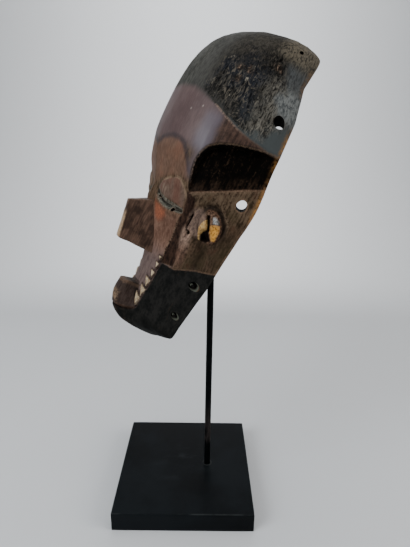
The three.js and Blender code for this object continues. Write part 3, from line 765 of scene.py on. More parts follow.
def nose_piece(material):
    """Wedge nose from inside the face out to its front, with softened edges."""
    height = NOSE["root"][0] - NOSE["foot"][0]
    depth = NOSE["bridge"][1] - NOSE["foot"][1]
    cube, faces = rounded_box(NOSE_CUTS, (2 * NOSE["tip"][2], depth, height), NOSE_EDGE)
    ahead = (cube[:, 1] + 1) / 2
    up = (cube[:, 2] + 1) / 2
    root, bridge, tip, foot = [np.array(NOSE[key]) for key in ("root", "bridge", "tip", "foot")]
    low = foot + (tip - foot) * ahead[:, None]
    high = root + (bridge - root) * ahead[:, None]
    line = low + (high - low) * up[:, None]
    points = np.stack([cube[:, 0] * line[:, 2], line[:, 1], line[:, 0]], -1)
    knocks = ADZE(points + 7, (5, 7, 7)) * 0.35 + WOBBLE(points, (1.8, 2.5, 2.5)) * 0.12
    middle = points.mean(axis=0)
    outward = points - middle
    outward /= np.linalg.norm(outward, axis=1, keepdims=True)
    points = points + outward * knocks[:, None]
    return new_piece("nose cutter", placed(points), faces, [material])


def drill_points(centre, direction, radii, reach):
    """Slightly uneven round cutter about an axis, with a radius for each of its ends."""
    direction = np.array(direction, float) / np.linalg.norm(direction)
    first = np.cross(direction, (0, 0, 1))
    first /= np.linalg.norm(first)
    second = np.cross(direction, first)
    angles = np.linspace(0, 2 * math.pi, DRILL_SIDES, endpoint=False)
    oval, lobed = DRILL_UNEVEN
    uneven = 1 + oval * np.sin(2 * angles + centre[2]) + lobed * np.sin(3 * angles)
    circle = np.cos(angles)[:, None] * first + np.sin(angles)[:, None] * second
    mouth, inner = [np.asarray(centre) + circle * (radius * uneven)[:, None] for radius in radii]
    return np.vstack([mouth - direction * reach, inner + direction * reach])


def drilled_holes():
    """Holes of the near half: centre, diameter, diameter of a widened mouth, aim and reach."""
    cord_holes = [(*hole, DRILL_REACH) for hole in HOLES]
    return cord_holes + [
        ((out, EYE_HOLE["front"], height), EYE_HOLE["diameter"], 0, (0, 1, 0), EYE_HOLE["reach"])
        for out, height in EYE_HOLES
    ]


def cutters_piece(material):
    """Cutters of all holes on both halves."""
    points = []
    faces = []
    drills = []
    for hand in (1, -1):
        for centre, diameter, mouth, aim, reach in drilled_holes():
            place = (centre[0] * hand, *centre[1:])
            direction = (aim[0] * hand, *aim[1:])
            radius = diameter / 2
            drills.append(drill_points(place, direction, (radius, radius), reach))
            if mouth:
                drills.append(drill_points(place, direction, (mouth - radius, radius), MOUTH_DEPTH))
    for drill in drills:
        start = len(points)
        points.extend(placed(drill).tolist())
        low = list(range(start, start + DRILL_SIDES))
        high = [index + DRILL_SIDES for index in low]
        faces.extend([low, high[::-1]])
        for k in range(DRILL_SIDES):
            following = (k + 1) % DRILL_SIDES
            faces.append([low[k], high[k], high[following], low[following]])
    return new_piece("hole cutters", points, faces, [material])


def joined(piece, other, operation):
    """Applies a boolean with another piece, which is then removed."""
    step = piece.modifiers.new(operation.title(), "BOOLEAN")
    step.operation = operation
    step.object = other
    step.solver = "MANIFOLD"
    step.material_mode = "TRANSFER"
    graph = bpy.context.evaluated_depsgraph_get()
    cut = bpy.data.meshes.new_from_object(piece.evaluated_get(graph))
    piece.modifiers.clear()
    piece.data = cut
    bpy.data.objects.remove(other)


def mesh_values(items, name, width, kind=float):
    """One named value of all vertices or edges, as an array with a row for each."""
    values = np.empty(len(items) * width, kind)
    items.foreach_get(name, values)
    return values.reshape(-1, width)


def mask_local(mesh):
    """Vertex places of the finished mask as out, front and height."""
    return (mesh_values(mesh.vertices, "co", 3) / MM - MASK_START) @ MASK_AXES.T


def relief_of(mesh):
    """How far each vertex stands out from its neighbours, in millimetres, evened out."""
    count = len(mesh.vertices)
    world = mesh_values(mesh.vertices, "co", 3) / MM
    normals = mesh_values(mesh.vertices, "normal", 3)
    ends = mesh_values(mesh.edges, "vertices", 2, int)
    degree = np.maximum(np.bincount(ends.ravel(), minlength=count), 1)

    def neighbours(values):
        total = np.zeros(values.shape)
        np.add.at(total, ends[:, 0], values[ends[:, 1]])
        np.add.at(total, ends[:, 1], values[ends[:, 0]])
        return total / degree.reshape(-1, *[1] * (values.ndim - 1))

    evened = world
    for _ in range(RELIEF_REACH):
        evened = neighbours(evened)
    relief = ((world - evened) * normals).sum(axis=1)
    for _ in range(2):
        relief = (relief + neighbours(relief)) / 2
    return relief


def jaw_black(points):
    """Distance inside the blackened jaw, on its sides and its chin."""
    out = np.abs(points[:, 0])
    height = points[:, 2]
    edge_outs, edge_heights = zip(*JAW_EDGE)
    edge = np.interp(height, edge_heights, edge_outs) + 0.4
    border = np.interp(around(points), *zip(*JAW_LINE))
    on_side = np.minimum(out - edge, border - height)
    chin = np.where(out < MOUTH_CORNER[0] + 1, mouth_height(out) - height, -9)
    return np.maximum(on_side, chin)


def zones(points):
    """Distances in millimetres to the lines, and inside the areas, that the finishes follow."""
    out = np.abs(points[:, 0])
    height = points[:, 2]
    way = around(points)
    off_face = FAR_OFF * (on_face(points, 3) < 0.5)
    across, along, near_ear = ear_plane(points)
    off_ear = FAR_OFF * ~near_ear
    knot = spot_distance(way, height, CRACK[-1:]) - KNOT["radius"]
    values = {
        "cap": above_hairline(points),
        "hacked": cap_roughness(points),
        "worn": worn_spots(way, height),
        "nick": spot_distance(way, height, NICKS, 0.6),
        "crack": np.minimum(line_distance(way, height, CRACK), knot),
        "jaw": jaw_black(points),
        "tooth": tooth_inside(points),
        "mouth": np.abs(height - mouth_height(out)) + 9 * (out > MOUTH_CORNER[0] + 1),
        "muzzle": np.minimum(muzzle_foot(height) + 0.8 - out, MUZZLE["top"] + MUZZLE["ledge"] - height),
        "ear_across": across + off_ear,
        "ear_along": along + off_ear,
        "rim": points[:, 1] - np.interp(height, SECTIONS[:, 0], SECTIONS[:, 5]),
        "way": way,
        "out": out,
        "height": height,
        "front": points[:, 1],
    }
    for x, y, off, lines, areas in (
        (way, height, 0, SIDE_ZONE_LINES, SIDE_ZONE_AREAS),
        (out, height, off_face, FACE_ZONE_LINES, FACE_ZONE_AREAS),
        (across, along, off_ear, EAR_ZONE_LINES, EAR_ZONE_AREAS),
    ):
        for name, line in lines.items():
            values[name] = line_distance(x, y, line) + off
        for name, outline in areas.items():
            values[name] = within(x, y, outline) - off
    return values


def skin_depth(points):
    """Distance above the outside of the mask, in round figures, less than nothing inside it."""
    rows = np.interp(points[:, 2], SECTIONS[:, 0], np.arange(len(SECTIONS)))
    places = np.arange(0, len(SECTIONS) - 0.5, 1 / DEPTH_ROWS)
    place, side = np.meshgrid(places, np.linspace(0, 2, DEPTH_PLACES), indexing="ij")
    outs, fronts = arc_point(section_at(place), side)
    angles = np.arctan2(fronts - DEPTH_AXIS, outs)
    reaches = np.hypot(fronts - DEPTH_AXIS, outs)
    angle = np.arctan2(points[:, 1] - DEPTH_AXIS, np.abs(points[:, 0]))
    reach = np.hypot(points[:, 1] - DEPTH_AXIS, points[:, 0])
    nearest = np.clip(np.round(rows * DEPTH_ROWS).astype(int), 0, len(place) - 1)
    depth = np.zeros(len(points))
    for row in range(len(place)):
        chosen = nearest == row
        depth[chosen] = reach[chosen] - np.interp(angle[chosen], angles[row][::-1], reaches[row][::-1])
    return depth


def bore_reach(points):
    """How far inside the round of a drilled hole a point lies, positive on the hole's wall."""
    farthest = np.full(len(points), -1e9)
    for centre, diameter, mouth, aim, _ in drilled_holes():
        axis = np.array(aim) / np.linalg.norm(aim)
        offset = near_half(points) - centre
        beside = np.linalg.norm(offset - (offset @ axis)[:, None] * axis, axis=1)
        farthest = np.maximum(farthest, max(diameter, mouth) / 2 + BORE_MARGIN - beside)
    return farthest


def record_zones(mesh):
    """Stores the zones on the mesh by name, and the place in the mask for the grain."""
    points = mask_local(mesh)
    values = zones(points)
    values["relief"] = relief_of(mesh)
    values["depth"] = skin_depth(points)
    values["bore"] = bore_reach(points)
    for name, distances in values.items():
        layer = mesh.attributes.new(name, "FLOAT", "POINT")
        layer.data.foreach_set("value", np.asarray(distances, np.float32))
    layer = mesh.attributes.new("grain", "FLOAT_VECTOR", "POINT")
    layer.data.foreach_set("vector", points.astype(np.float32).ravel())


def soften(mesh, sharp_degrees):
    """Smooth shading that keeps the edges sharper than an angle."""
    limit = math.radians(sharp_degrees)
    work = bmesh.new()
    work.from_mesh(mesh)
    for face in work.faces:
        face.smooth = True
    for edge in work.edges:
        edge.smooth = len(edge.link_faces) == 2 and edge.calc_face_angle(0) < limit
    work.to_mesh(mesh)
    work.free()


# Finishes
def math_method(operation, swapped=False):
    """Method of a Value that adds a Math node for an operation with another term."""

    def method(self, other):
        terms = {0: other, 1: self} if swapped else {0: self, 1: other}
        return self.finish.node("Math", {"operation": operation}, terms)

    return method


class Value:
    """A shader socket that takes part in Python arithmetic by adding Math nodes."""

    def __init__(self, finish, socket):
        self.finish = finish
        self.socket = socket

    __add__ = math_method("ADD")
    __radd__ = math_method("ADD", True)
    __sub__ = math_method("SUBTRACT")
    __rsub__ = math_method("SUBTRACT", True)
    __mul__ = math_method("MULTIPLY")
    __rmul__ = math_method("MULTIPLY", True)
    __truediv__ = math_method("DIVIDE")
    __pow__ = math_method("POWER")
    least = math_method("MINIMUM")
    most = math_method("MAXIMUM")

    def size(self):
        return self.finish.node("Math", {"operation": "ABSOLUTE"}, {0: self})

    def step(self, low, high):
        """0 up to low and 1 from high on, smoothly; high may be the smaller."""
        rising = low < high
        ends = {"Value": self, "From Min": min(low, high), "From Max": max(low, high)}
        ends.update({"To Min": 0.0 if rising else 1.0, "To Max": 1.0 if rising else 0.0})
        return self.finish.node("MapRange", {"interpolation_type": "SMOOTHSTEP"}, ends)

    def lay(self, tone, share):
        """Lays another colour over this one, as far as its share from 0 to 1 goes."""
        self.socket = self.finish.mix(self, tone, share).socket


class Finish:
    """A material and its node tree."""

    def __init__(self, name, roughness=0.5, **constants):
        self.material = bpy.data.materials.new(name)
        self.material.use_nodes = True
        self.tree = self.material.node_tree
        self.shader = self.tree.nodes["Principled BSDF"]
        self.shader.inputs["Roughness"].default_value = roughness
        self.wander = 0
        for socket, value in constants.items():
            self.shader.inputs[socket.replace("_", " ")].default_value = value

    def node(self, kind, settings=None, inputs=None, output=0):
        made = self.tree.nodes.new("ShaderNode" + kind)
        for name, value in (settings or {}).items():
            setattr(made, name, value)
        for key, value in (inputs or {}).items():
            self.feed(made.inputs[key], value)
        return Value(self, made.outputs[output])

    def feed(self, socket, value):
        if isinstance(value, Value):
            self.tree.links.new(value.socket, socket)
        else:
            socket.default_value = value

    def zone(self, name):
        return self.node("Attribute", {"attribute_name": name}, output="Fac")

    def edge(self, name, stray, low, high):
        """Share of a zone whose border strays with the wander that the finish has been given."""
        return (self.zone(name) + self.wander * stray).step(low, high)

    def place(self):
        return self.node("Attribute", {"attribute_name": "grain"}, output="Vector")

    def noise(self, place, size, stretch=(1, 1, 1), detail=3.0, roughness=0.55, warp=0.0):
        """Noise from about 0.25 to 0.75, with features of a size in the place's own units."""
        scale = tuple(1 / (size * share) for share in stretch)
        stretched = self.node("Mapping", None, {"Vector": place, "Scale": scale})
        inputs = {"Vector": stretched, "Scale": 1.0, "Detail": detail}
        inputs.update({"Roughness": roughness, "Distortion": warp})
        return self.node("TexNoise", None, inputs)

    def mix(self, first, second, factor):
        """Colour between two, each made before or given as red, green and blue."""
        first, second = [tone if isinstance(tone, Value) else shade(*tone) for tone in (first, second)]
        return self.node("Mix", {"data_type": "RGBA"}, {0: factor, 6: first, 7: second}, 2)

    def finish(self, colour, roughness, height, bump, depth, coat=None):
        """Feeds the shader, with a bump from the height, and gives the material."""
        self.feed(self.shader.inputs["Base Color"], colour)
        self.feed(self.shader.inputs["Roughness"], roughness)
        if coat is not None:
            self.feed(self.shader.inputs["Coat Weight"], coat)
        inputs = {"Strength": bump, "Distance": depth, "Height": height}
        self.feed(self.shader.inputs["Normal"], self.node("Bump", None, inputs))
        return self.material


def shade(red, green, blue):
    """Colour from the 0 to 255 values of a picture."""
    parts = [value / 255 for value in (red, green, blue)]
    return tuple(p / 12.92 if p <= 0.04045 else ((p + 0.055) / 1.055) ** 2.4 for p in parts) + (1.0,)


class SkinWood(Finish):
    """Finish of the mask's outside, with the noises, places and shares that its parts have in common."""

    def __init__(self):
        super().__init__("mask skin", Specular_IOR_Level=0.02, Coat_Roughness=0.42)
        place = self.place()
        self.grain = self.noise(place, 1.7, (1, 1, 8), 4)
        self.fine = self.noise(place, 1.1, (1, 1, 5), 3)
        self.cloud = self.noise(place, 24, (1, 1, 1.4), 4)
        self.blotch = self.noise(place, 6, (1, 1, 1.5), 5, 0.6)
        self.speck = self.noise(place, 1.5, (1, 1, 1.3), 5, 0.7)
        scratch = self.noise(place, 1.9, (1, 1, 6), 4, 0.7)
        cross_scratch = self.noise(place, 1.7, (1, 4.5, 1.4), 4, 0.7)
        self.fibre = self.noise(place, 1.8, (1, 1, 4), 3, 0.6, warp=1.2)
        self.cross_fibre = self.noise(place, 1.8, (1, 3.5, 1), 3, 0.6, warp=1.2)
        self.patch = self.noise(place, 11, (1, 1, 1.3), 3)
        self.mottle = self.grain * 0.45 + self.speck * 0.3 + self.blotch * 0.25
        self.strokes = scratch * 0.4 + cross_scratch * 0.25 + self.speck * 0.35
        self.wander = (self.blotch - 0.5) * 4
        self.relief = self.zone("relief")
        self.height = self.zone("height")
        self.way = self.zone("way")
        self.out = self.zone("out")
        self.stray_height = self.height + self.wander
        self.stray_way = self.way + self.wander
        self.forehead = self.height.step(144, 158)
        self.temple_side = self.stray_way.step(56, 62) * self.forehead
        self.jaw = self.edge("jaw", 0.25, -0.6, 0.6)
        hacked = self.zone("hacked") + (self.blotch - 0.5) * 1.8 + (scratch - 0.5) * 0.8
        self.hacked = hacked.step(0.0, 1.1)
        soft_front = self.way.step(52, 34) * 3.2
        self.cap = ((self.zone("cap") + self.wander * 0.5) / (1 + soft_front)).step(-0.8, 0.8)
        self.painted = (self.jaw + self.cap + self.zone("temple").step(0, 1)).least(1)


def cheek_colour(wood):
    """Rubbed brown with grain along the mask, the ground of all the rest."""
    height, mottle = wood.height, wood.mottle
    colour = wood.mix((39, 30, 21), (92, 73, 57), mottle.step(0.36, 0.64))
    colour.lay((104, 88, 71), height.step(112, 124) * mottle.step(0.4, 0.6) * 0.6)
    colour.lay((36, 29, 21), wood.stray_way.step(72, 92) * height.step(122, 106) * 0.35)
    colour.lay((58, 50, 34), wood.cloud.step(0.48, 0.66) * 0.5)
    colour.lay((56, 28, 20), wood.blotch.step(0.54, 0.7) * 0.4)
    return colour


def lay_forehead(wood, colour):
    """Polished purple brown, with a mottled triangle at the temple."""
    sheen = wood.cloud * 0.6 + wood.fine * 0.4
    colour.lay(wood.mix((76, 60, 59), (94, 77, 75), sheen.step(0.36, 0.64)), wood.forehead)
    streaked = wood.mix((34, 26, 21), (80, 61, 51), wood.mottle.step(0.36, 0.62))
    colour.lay(streaked, wood.temple_side * 0.9)


def lay_brow(wood, colour):
    """Brow under its arch, its paler rubbed corner given a painted sheen, and two nicks."""
    cloud, height, way = wood.cloud, wood.height, wood.way
    brow_wood = wood.mix((90, 68, 57), (110, 85, 70), (cloud * 0.5 + wood.grain * 0.5).step(0.36, 0.64))
    brow_wood.lay((112, 68, 52), cloud.step(0.45, 0.6) * 0.3)
    colour.lay(brow_wood, wood.edge("brow", 0.6, -2.5, 4) * 0.9)
    arch = wood.edge("brow_arch", 0.4, 3.2, 0.4)
    colour.lay((46, 42, 46), arch * (0.5 + wood.speck.step(0.4, 0.6) * 0.25))
    temple_edge = wood.zone("ledge").step(9, 2) * height.step(128, 136) * way.step(62, 56)
    colour.lay((84, 74, 78), temple_edge * 0.7)
    # Painted sheen: a paler bluish purple on the forehead's corner, standing for reflected light.
    rub_and_sheen = wood.stray_way.step(44, 52) * wood.stray_way.step(64, 58)
    colour.lay((88, 83, 92), rub_and_sheen * height.step(148, 156) * height.step(184, 174) * 0.6)
    colour.lay((168, 156, 148), wood.zone("nick").step(1.0, 0.3) * 0.65)


def lay_face(wood, colour):
    """Narrow face below the eye and the dark strip behind its corner."""
    height, mottle, wander = wood.height, wood.mottle, wood.wander
    below_eye = height.step(110, 98) * (wood.out + wander * 0.4).step(50, 44) * wood.way.step(72, 66)
    face_high = wood.mix((84, 60, 49), (124, 96, 81), (wood.cloud * 0.4 + mottle * 0.6).step(0.38, 0.6))
    face_low = wood.mix((84, 69, 66), (108, 92, 86), mottle.step(0.38, 0.6))
    face_wood = wood.mix(face_low, face_high, (height + wander * 2).step(62, 84))
    colour.lay(face_wood, below_eye * (1 - wood.zone("strip").step(-1.2, 0)))
    strip_wood = wood.mix((26, 17, 14), (60, 43, 34), mottle.step(0.4, 0.62))
    colour.lay(strip_wood, wood.edge("strip", 0.2, -0.8, 0.8))
    corner = wood.zone("corner").step(1.5, 0.4) * height.step(103, 97) * height.step(64, 70)
    colour.lay((138, 112, 92), corner * wood.speck.step(0.4, 0.6) * 0.6)


def lay_ridge(wood, colour):
    """Pale ridge of the cheek, redder at its foot, and painted shade in the hollow below the ear."""
    streaks = wood.mottle.step(0.38, 0.6)
    ridge_top = wood.mix((82, 62, 54), (164, 138, 120), streaks)
    ridge_foot = wood.mix((60, 46, 38), (112, 84, 70), streaks)
    ridge_wood = wood.mix(ridge_foot, ridge_top, (wood.height + wood.wander * 2).step(80, 94))
    colour.lay(ridge_wood, wood.edge("ridge", 0.5, 8, 2) * wood.stray_height.step(66, 76) * 0.9)
    # Painted shade in the carved valley below the ear.
    colour.lay((30, 22, 15), wood.edge("valley", 0.8, 6, 0) * 0.45)


def lay_eye(wood, colour):
    """Lid, the worn red below it and the grey-green slit."""
    out, cloud, speck = wood.out, wood.cloud, wood.speck
    lid_wood = wood.mix((82, 66, 57), (104, 85, 74), wood.mottle.step(0.38, 0.62))
    lid_wood.lay((96, 60, 52), cloud.step(0.48, 0.6) * 0.5)
    lid_wood.lay((98, 62, 52), out.step(31, 35) * out.step(43, 38) * 0.5)
    lid_wood.lay((122, 108, 94), wood.grain.step(0.5, 0.64) * out.step(28, 20) * 0.6)
    colour.lay(lid_wood, wood.edge("lid", 0.3, -0.8, 1.4) * 0.9)
    lid_edge = wood.edge("lid_top", 0.2, 1.6, 0.3) * wood.height.step(116, 122)
    colour.lay((134, 112, 92), lid_edge * wood.blotch.step(0.36, 0.6) * 0.7)
    red = wood.mix((120, 72, 54), (156, 92, 66), speck.step(0.35, 0.65))
    colour.lay(red, wood.edge("under_eye", 0.6, -3, 2.5) * 0.8)
    band_paint = wood.mix((50, 49, 43), (112, 112, 101), (speck * 0.6 + wood.fine * 0.4).step(0.4, 0.6))
    band_paint.lay((126, 120, 108), out.step(31, 38) * speck.step(0.36, 0.58) * 0.7)
    colour.lay(band_paint, wood.edge("slit_band", 0.35, -0.4, 1) * 0.8)
    gap = wood.edge("slit", 0.25, 1.0, 0.2) * wood.blotch.step(0.4, 0.56)
    colour.lay((20, 18, 15), gap * 0.85)


def lay_temple(wood, colour):
    """Hollow temple, with soot over brown."""
    zone, mottle = wood.zone, wood.mottle
    field = wood.mix((34, 23, 17), (80, 60, 47), mottle.step(0.4, 0.62))
    colour.lay(field, zone("temple_field").step(-0.2, 0.4))
    scraped = wood.strokes.step(0.5, 0.62) * wood.blotch.step(0.4, 0.6)
    soot = wood.mix((5, 4, 3), (54, 41, 31), scraped * 0.85)
    soot.lay((50, 37, 28), zone("temple_line").step(11, 3) * mottle.step(0.42, 0.62) * 0.7)
    sunk = zone("temple").step(-7, -5) * zone("depth").step(-0.5, -1.4)
    colour.lay(soot, wood.edge("temple", 0.4, -2.2, -0.4).most(sunk))


def smooth_cap_colour(wood):
    """Smooth grey of the cap, darker on top, blue-grey near the rim with a painted highlight on its paler
    lower part, and brown at the crown's rim.
    """
    height, way, mottle, fibre = wood.height, wood.way, wood.mottle, wood.fibre
    stray_way, stray_height = wood.stray_way, wood.stray_height
    smooth_cap = wood.mix((48, 48, 45), (80, 79, 74), (wood.cloud * 0.5 + wood.fine * 0.5).step(0.4, 0.6))
    smooth_cap.lay((58, 57, 55), stray_way.step(10, 24) * 0.5)
    dark_top = stray_way.step(24, 42) * stray_height.step(190, 214) * way.step(98, 84)
    top_wood = wood.mix((16, 15, 13), (56, 52, 45), (fibre * 0.6 + wood.cloud * 0.4).step(0.45, 0.64))
    smooth_cap.lay(top_wood, dark_top * 0.9)
    smooth_cap.lay((34, 30, 26), mottle.step(0.46, 0.62) * way.step(24, 42) * 0.7)
    smooth_cap.lay((66, 70, 70), height.step(196, 188) * way.step(60, 70))
    by_rim = (way + wood.wander * 1.5).step(80, 88) * stray_height.step(190, 198)
    streaks = (mottle * 0.6 + fibre * 0.4).step(0.4, 0.58)
    dim_blue = wood.mix((48, 50, 51), (80, 82, 82), streaks)
    smooth_cap.lay(dim_blue, by_rim * height.step(240, 230) * 0.85)
    # Blue-grey paint near the rim, made paler below as a painted highlight.
    blue_grey_and_highlight = wood.mix((60, 63, 64), (112, 114, 112), streaks)
    smooth_cap.lay(blue_grey_and_highlight, by_rim * stray_height.step(222, 212) * 0.85)
    top_brown = wood.mix((44, 41, 36), (104, 96, 82), (fibre * 0.5 + wood.speck * 0.5).step(0.4, 0.58))
    smooth_cap.lay(top_brown, stray_way.step(62, 86) * height.step(230, 241) * 0.8)
    return smooth_cap


def hacked_cap_colour(wood):
    """Black of the hacked middle of the cap, with pale fibres, scratches and worn spots."""
    height, blotch, speck = wood.height, wood.blotch, wood.speck
    fibre, strokes, patch = wood.fibre, wood.strokes, wood.patch
    black = wood.mix((12, 12, 12), (52, 50, 47), (blotch * 0.5 + fibre * 0.5).step(0.44, 0.6))
    black.lay((34, 38, 46), wood.cloud.step(0.5, 0.62) * 0.5)
    black.lay((90, 83, 73), fibre.step(0.53, 0.62) * patch.step(0.4, 0.56) * 0.8)
    black.lay((86, 80, 71), wood.cross_fibre.step(0.55, 0.63) * patch.step(0.56, 0.42) * 0.75)
    black.lay((142, 134, 120), strokes.step(0.56, 0.62) * patch.step(0.44, 0.58) * 0.8)
    black.lay((7, 7, 7), fibre.step(0.45, 0.39) * 0.7)
    black.lay((96, 89, 78), wood.relief.step(0.1, 0.36) * speck.step(0.42, 0.6) * 0.35)
    black.lay((12, 11, 9), height.step(213, 222) * wood.way.step(88, 76) * 0.45)
    # Paler toward the rim's side of the hacked area.
    paler_side = wood.mix((34, 32, 29), (116, 112, 103), (fibre * 0.5 + strokes * 0.5).step(0.42, 0.58))
    black.lay(paler_side, wood.stray_way.step(68, 84) * height.step(226, 212) * 0.6)
    worn = (wood.zone("worn") + (blotch - 0.5) * 1.5).step(0.2, 0.8)
    black.lay(wood.mix((24, 19, 16), (126, 106, 90), strokes.step(0.5, 0.6)), worn * 0.8)
    return black


def lay_jaw(wood, colour):
    """Black pitch of the jaw with painted shade under the jaw and chin, and the brown muzzle with its pale
    lip.
    """
    out, height, blotch, jaw = wood.out, wood.height, wood.blotch, wood.jaw
    pitch_and_shade = wood.mix((16, 17, 16), (34, 33, 31), (blotch * 0.6 + wood.speck * 0.4).step(0.38, 0.62))
    pitch_and_shade.lay((50, 40, 33), wood.grain.step(0.58, 0.7) * wood.cloud.step(0.45, 0.6) * 0.7)
    pitch_and_shade.lay((46, 36, 29), out.step(13, 6) * blotch.step(0.42, 0.6) * 0.7)
    # Painted shade: near-black along the underside of the jaw and the chin.
    pitch_and_shade.lay((7, 8, 6), (out.step(16, 26) * height.step(24, 10)).most(height.step(9, 3)) * 0.85)
    colour.lay(pitch_and_shade, jaw)
    muzzle = wood.edge("muzzle", 0.2, -0.6, 0.6) * (1 - jaw)
    muzzle_wood = wood.mix((44, 34, 30), (66, 55, 50), wood.mottle.step(0.38, 0.62))
    muzzle_wood.lay((76, 60, 48), height.step(36, 39) * 0.6)
    colour.lay(muzzle_wood, muzzle)
    lip = muzzle * out.step(8.5, 6) * wood.stray_height.step(20, 22) * wood.stray_height.step(31, 27)
    colour.lay((142, 118, 94), lip * wood.speck.step(0.38, 0.6) * 0.8)
    colour.lay((70, 46, 28), wood.zone("mouth").step(2.6, 0.8) * muzzle * 0.4)


def lay_teeth(wood, colour):
    """Ivory-coloured teeth, with dark wood in the notches between them."""
    notch = wood.zone("tooth").step(-1.8, -0.2) * (1 - wood.jaw) * wood.out.step(8, 11)
    colour.lay((48, 36, 28), notch * 0.7)
    ivory = wood.mix((136, 116, 90), (212, 194, 162), (wood.grain * 0.5 + wood.speck * 0.5).step(0.4, 0.58))
    colour.lay(ivory, wood.edge("tooth", 0.12, -0.2, 0.4))


def lay_ear(wood, colour):
    """Purple front lobe, a pale crescent, a dark slot, painted shade in the sunk pocket, and the worn back
    facet.
    """
    edge, speck = wood.edge, wood.speck
    across = wood.zone("ear_across")
    along = wood.zone("ear_along")
    radius = ((along / EAR_RADII["long"]) ** 2 + (across / EAR_RADII["wide"]) ** 2) ** 0.5
    ring = radius.step(1.5, 1.25) * radius.step(0.9, 1.05) * (along - across).step(-6, 4)
    colour.lay((30, 22, 17), ring * 0.6)
    lobe_across = (across - 9) / 7
    lobe_along = (along - 3) / 10
    lobe = wood.mix((84, 68, 62), (124, 103, 90), speck.step(0.35, 0.65))
    colour.lay(lobe, (lobe_across * lobe_across + lobe_along * lobe_along).step(1.5, 0.6) * 0.8)
    shell = wood.mix((44, 31, 24), (92, 68, 53), speck.step(0.4, 0.62))
    colour.lay(shell, radius.step(1.12, 0.96) * edge("ear_across", 0.3, 3.5, 1.5))
    orange = wood.mix((120, 72, 26), (212, 154, 72), speck.step(0.36, 0.56))
    colour.lay(orange, edge("ear_facet", 0.25, -0.6, 0.6))
    chalk = wood.mix((84, 86, 84), (176, 180, 180), speck.step(0.4, 0.6))
    colour.lay(chalk, edge("ear_chalk", 0.3, -0.4, 1.2) * 0.9)
    # Painted shade: near-black in the sunk pocket of the ear.
    colour.lay((16, 10, 8), edge("ear_pocket", 0.2, -0.5, 0.8) * 0.95)
    yellow = wood.mix((140, 100, 56), (206, 170, 108), speck.step(0.36, 0.58))
    colour.lay(yellow, edge("ear_crescent", 0.15, -0.4, 0.5))
    colour.lay((20, 12, 9), wood.zone("ear_slot").step(1.2, 0.5) * (0.7 + speck.step(0.5, 0.4) * 0.3))
    colour.lay((112, 94, 76), wood.zone("ear_arch").step(1.1, 0.3) * speck.step(0.4, 0.58) * 0.6)


def lay_lines(wood, colour):
    """Crack, splinter and scored lines."""
    zone, speck, way = wood.zone, wood.speck, wood.way
    colour.lay((12, 7, 6), zone("crack").step(1.1, 0.3) * 0.95)
    chip = wood.edge("splinter", 0.3, -0.3, 0.7)
    colour.lay((150, 124, 106), chip * speck.step(0.4, 0.58) * 0.85)
    scored = wood.mix((122, 98, 80), (78, 60, 48), speck.step(0.4, 0.6))
    hair_line = wood.edge("hair_line", 0.2, 1.2, 0.2) * speck.step(0.34, 0.58)
    colour.lay((134, 112, 98), hair_line * way.step(84, 66) * 0.65)
    colour.lay(scored, hair_line * way.step(66, 84) * 0.5)
    colour.lay(scored, zone("temple_line").step(1.0, 0.3) * 0.6)
    colour.lay(scored, zone("jaw_line").step(0.9, 0.3) * way.step(60, 66) * 0.5)
    colour.lay((12, 9, 8), zone("mouth").step(0.9, 0.3) * 0.9)


def lay_wear(wood, colour):
    """Wear on what stands out, a painted highlight along the temple's ledge, and darker where the surface
    lies deep.
    """
    zone, speck, relief = wood.zone, wood.speck, wood.relief
    off_ledge = zone("ledge").step(2, 8)
    bright = wood.mix((128, 102, 84), (62, 54, 46), wood.painted)
    stands_out = relief.step(0.10, 0.34) * speck.step(0.3, 0.7) * off_ledge
    colour.lay(bright, stands_out * (0.5 - 0.3 * wood.painted) * (1 - wood.jaw))
    # Painted highlight along the ledge's edge, pale purple toward the front, with pale brown wear further
    # back.
    ledge_highlight_and_wear = wood.edge("ledge", 0.25, 1.4, 0.4) * wood.height.step(128, 136)
    ledge_highlight_and_wear = ledge_highlight_and_wear * zone("depth").step(-1.2, -0.2)
    highlight_and_wear_wood = wood.mix((132, 116, 110), (116, 94, 76), wood.way.step(52, 62))
    colour.lay(highlight_and_wear_wood, ledge_highlight_and_wear * speck.step(0.3, 0.6) * 0.5)
    # Darker where the surface lies deep.
    colour.lay((12, 9, 8), relief.step(-0.10, -0.40) * (0.2 + 0.45 * off_ledge))


def lay_rim(wood, colour):
    """Ochre of the worn rim beside the temple, browner along its broken length."""
    height = wood.height
    ochre = height.step(118, 132) * height.step(196, 186) * (1 - wood.zone("temple").step(-1, 1) * 0.4)
    notch_wear = height.step(214, 222) * height.step(242, 236) * 0.7
    rim = wood.edge("rim", 1.3, 4.2, 0.8) * ochre * wood.cloud.step(0.3, 0.5)
    rim = rim + wood.edge("rim", 1.2, 5.5, 2) * notch_wear
    ochre_wood = wood.mix((110, 78, 44), (168, 118, 58), wood.blotch.step(0.4, 0.6))
    ochre_wood.lay((104, 78, 54), height.step(200, 215))
    colour.lay(ochre_wood, rim * wood.speck.step(0.36, 0.58) * 0.8)


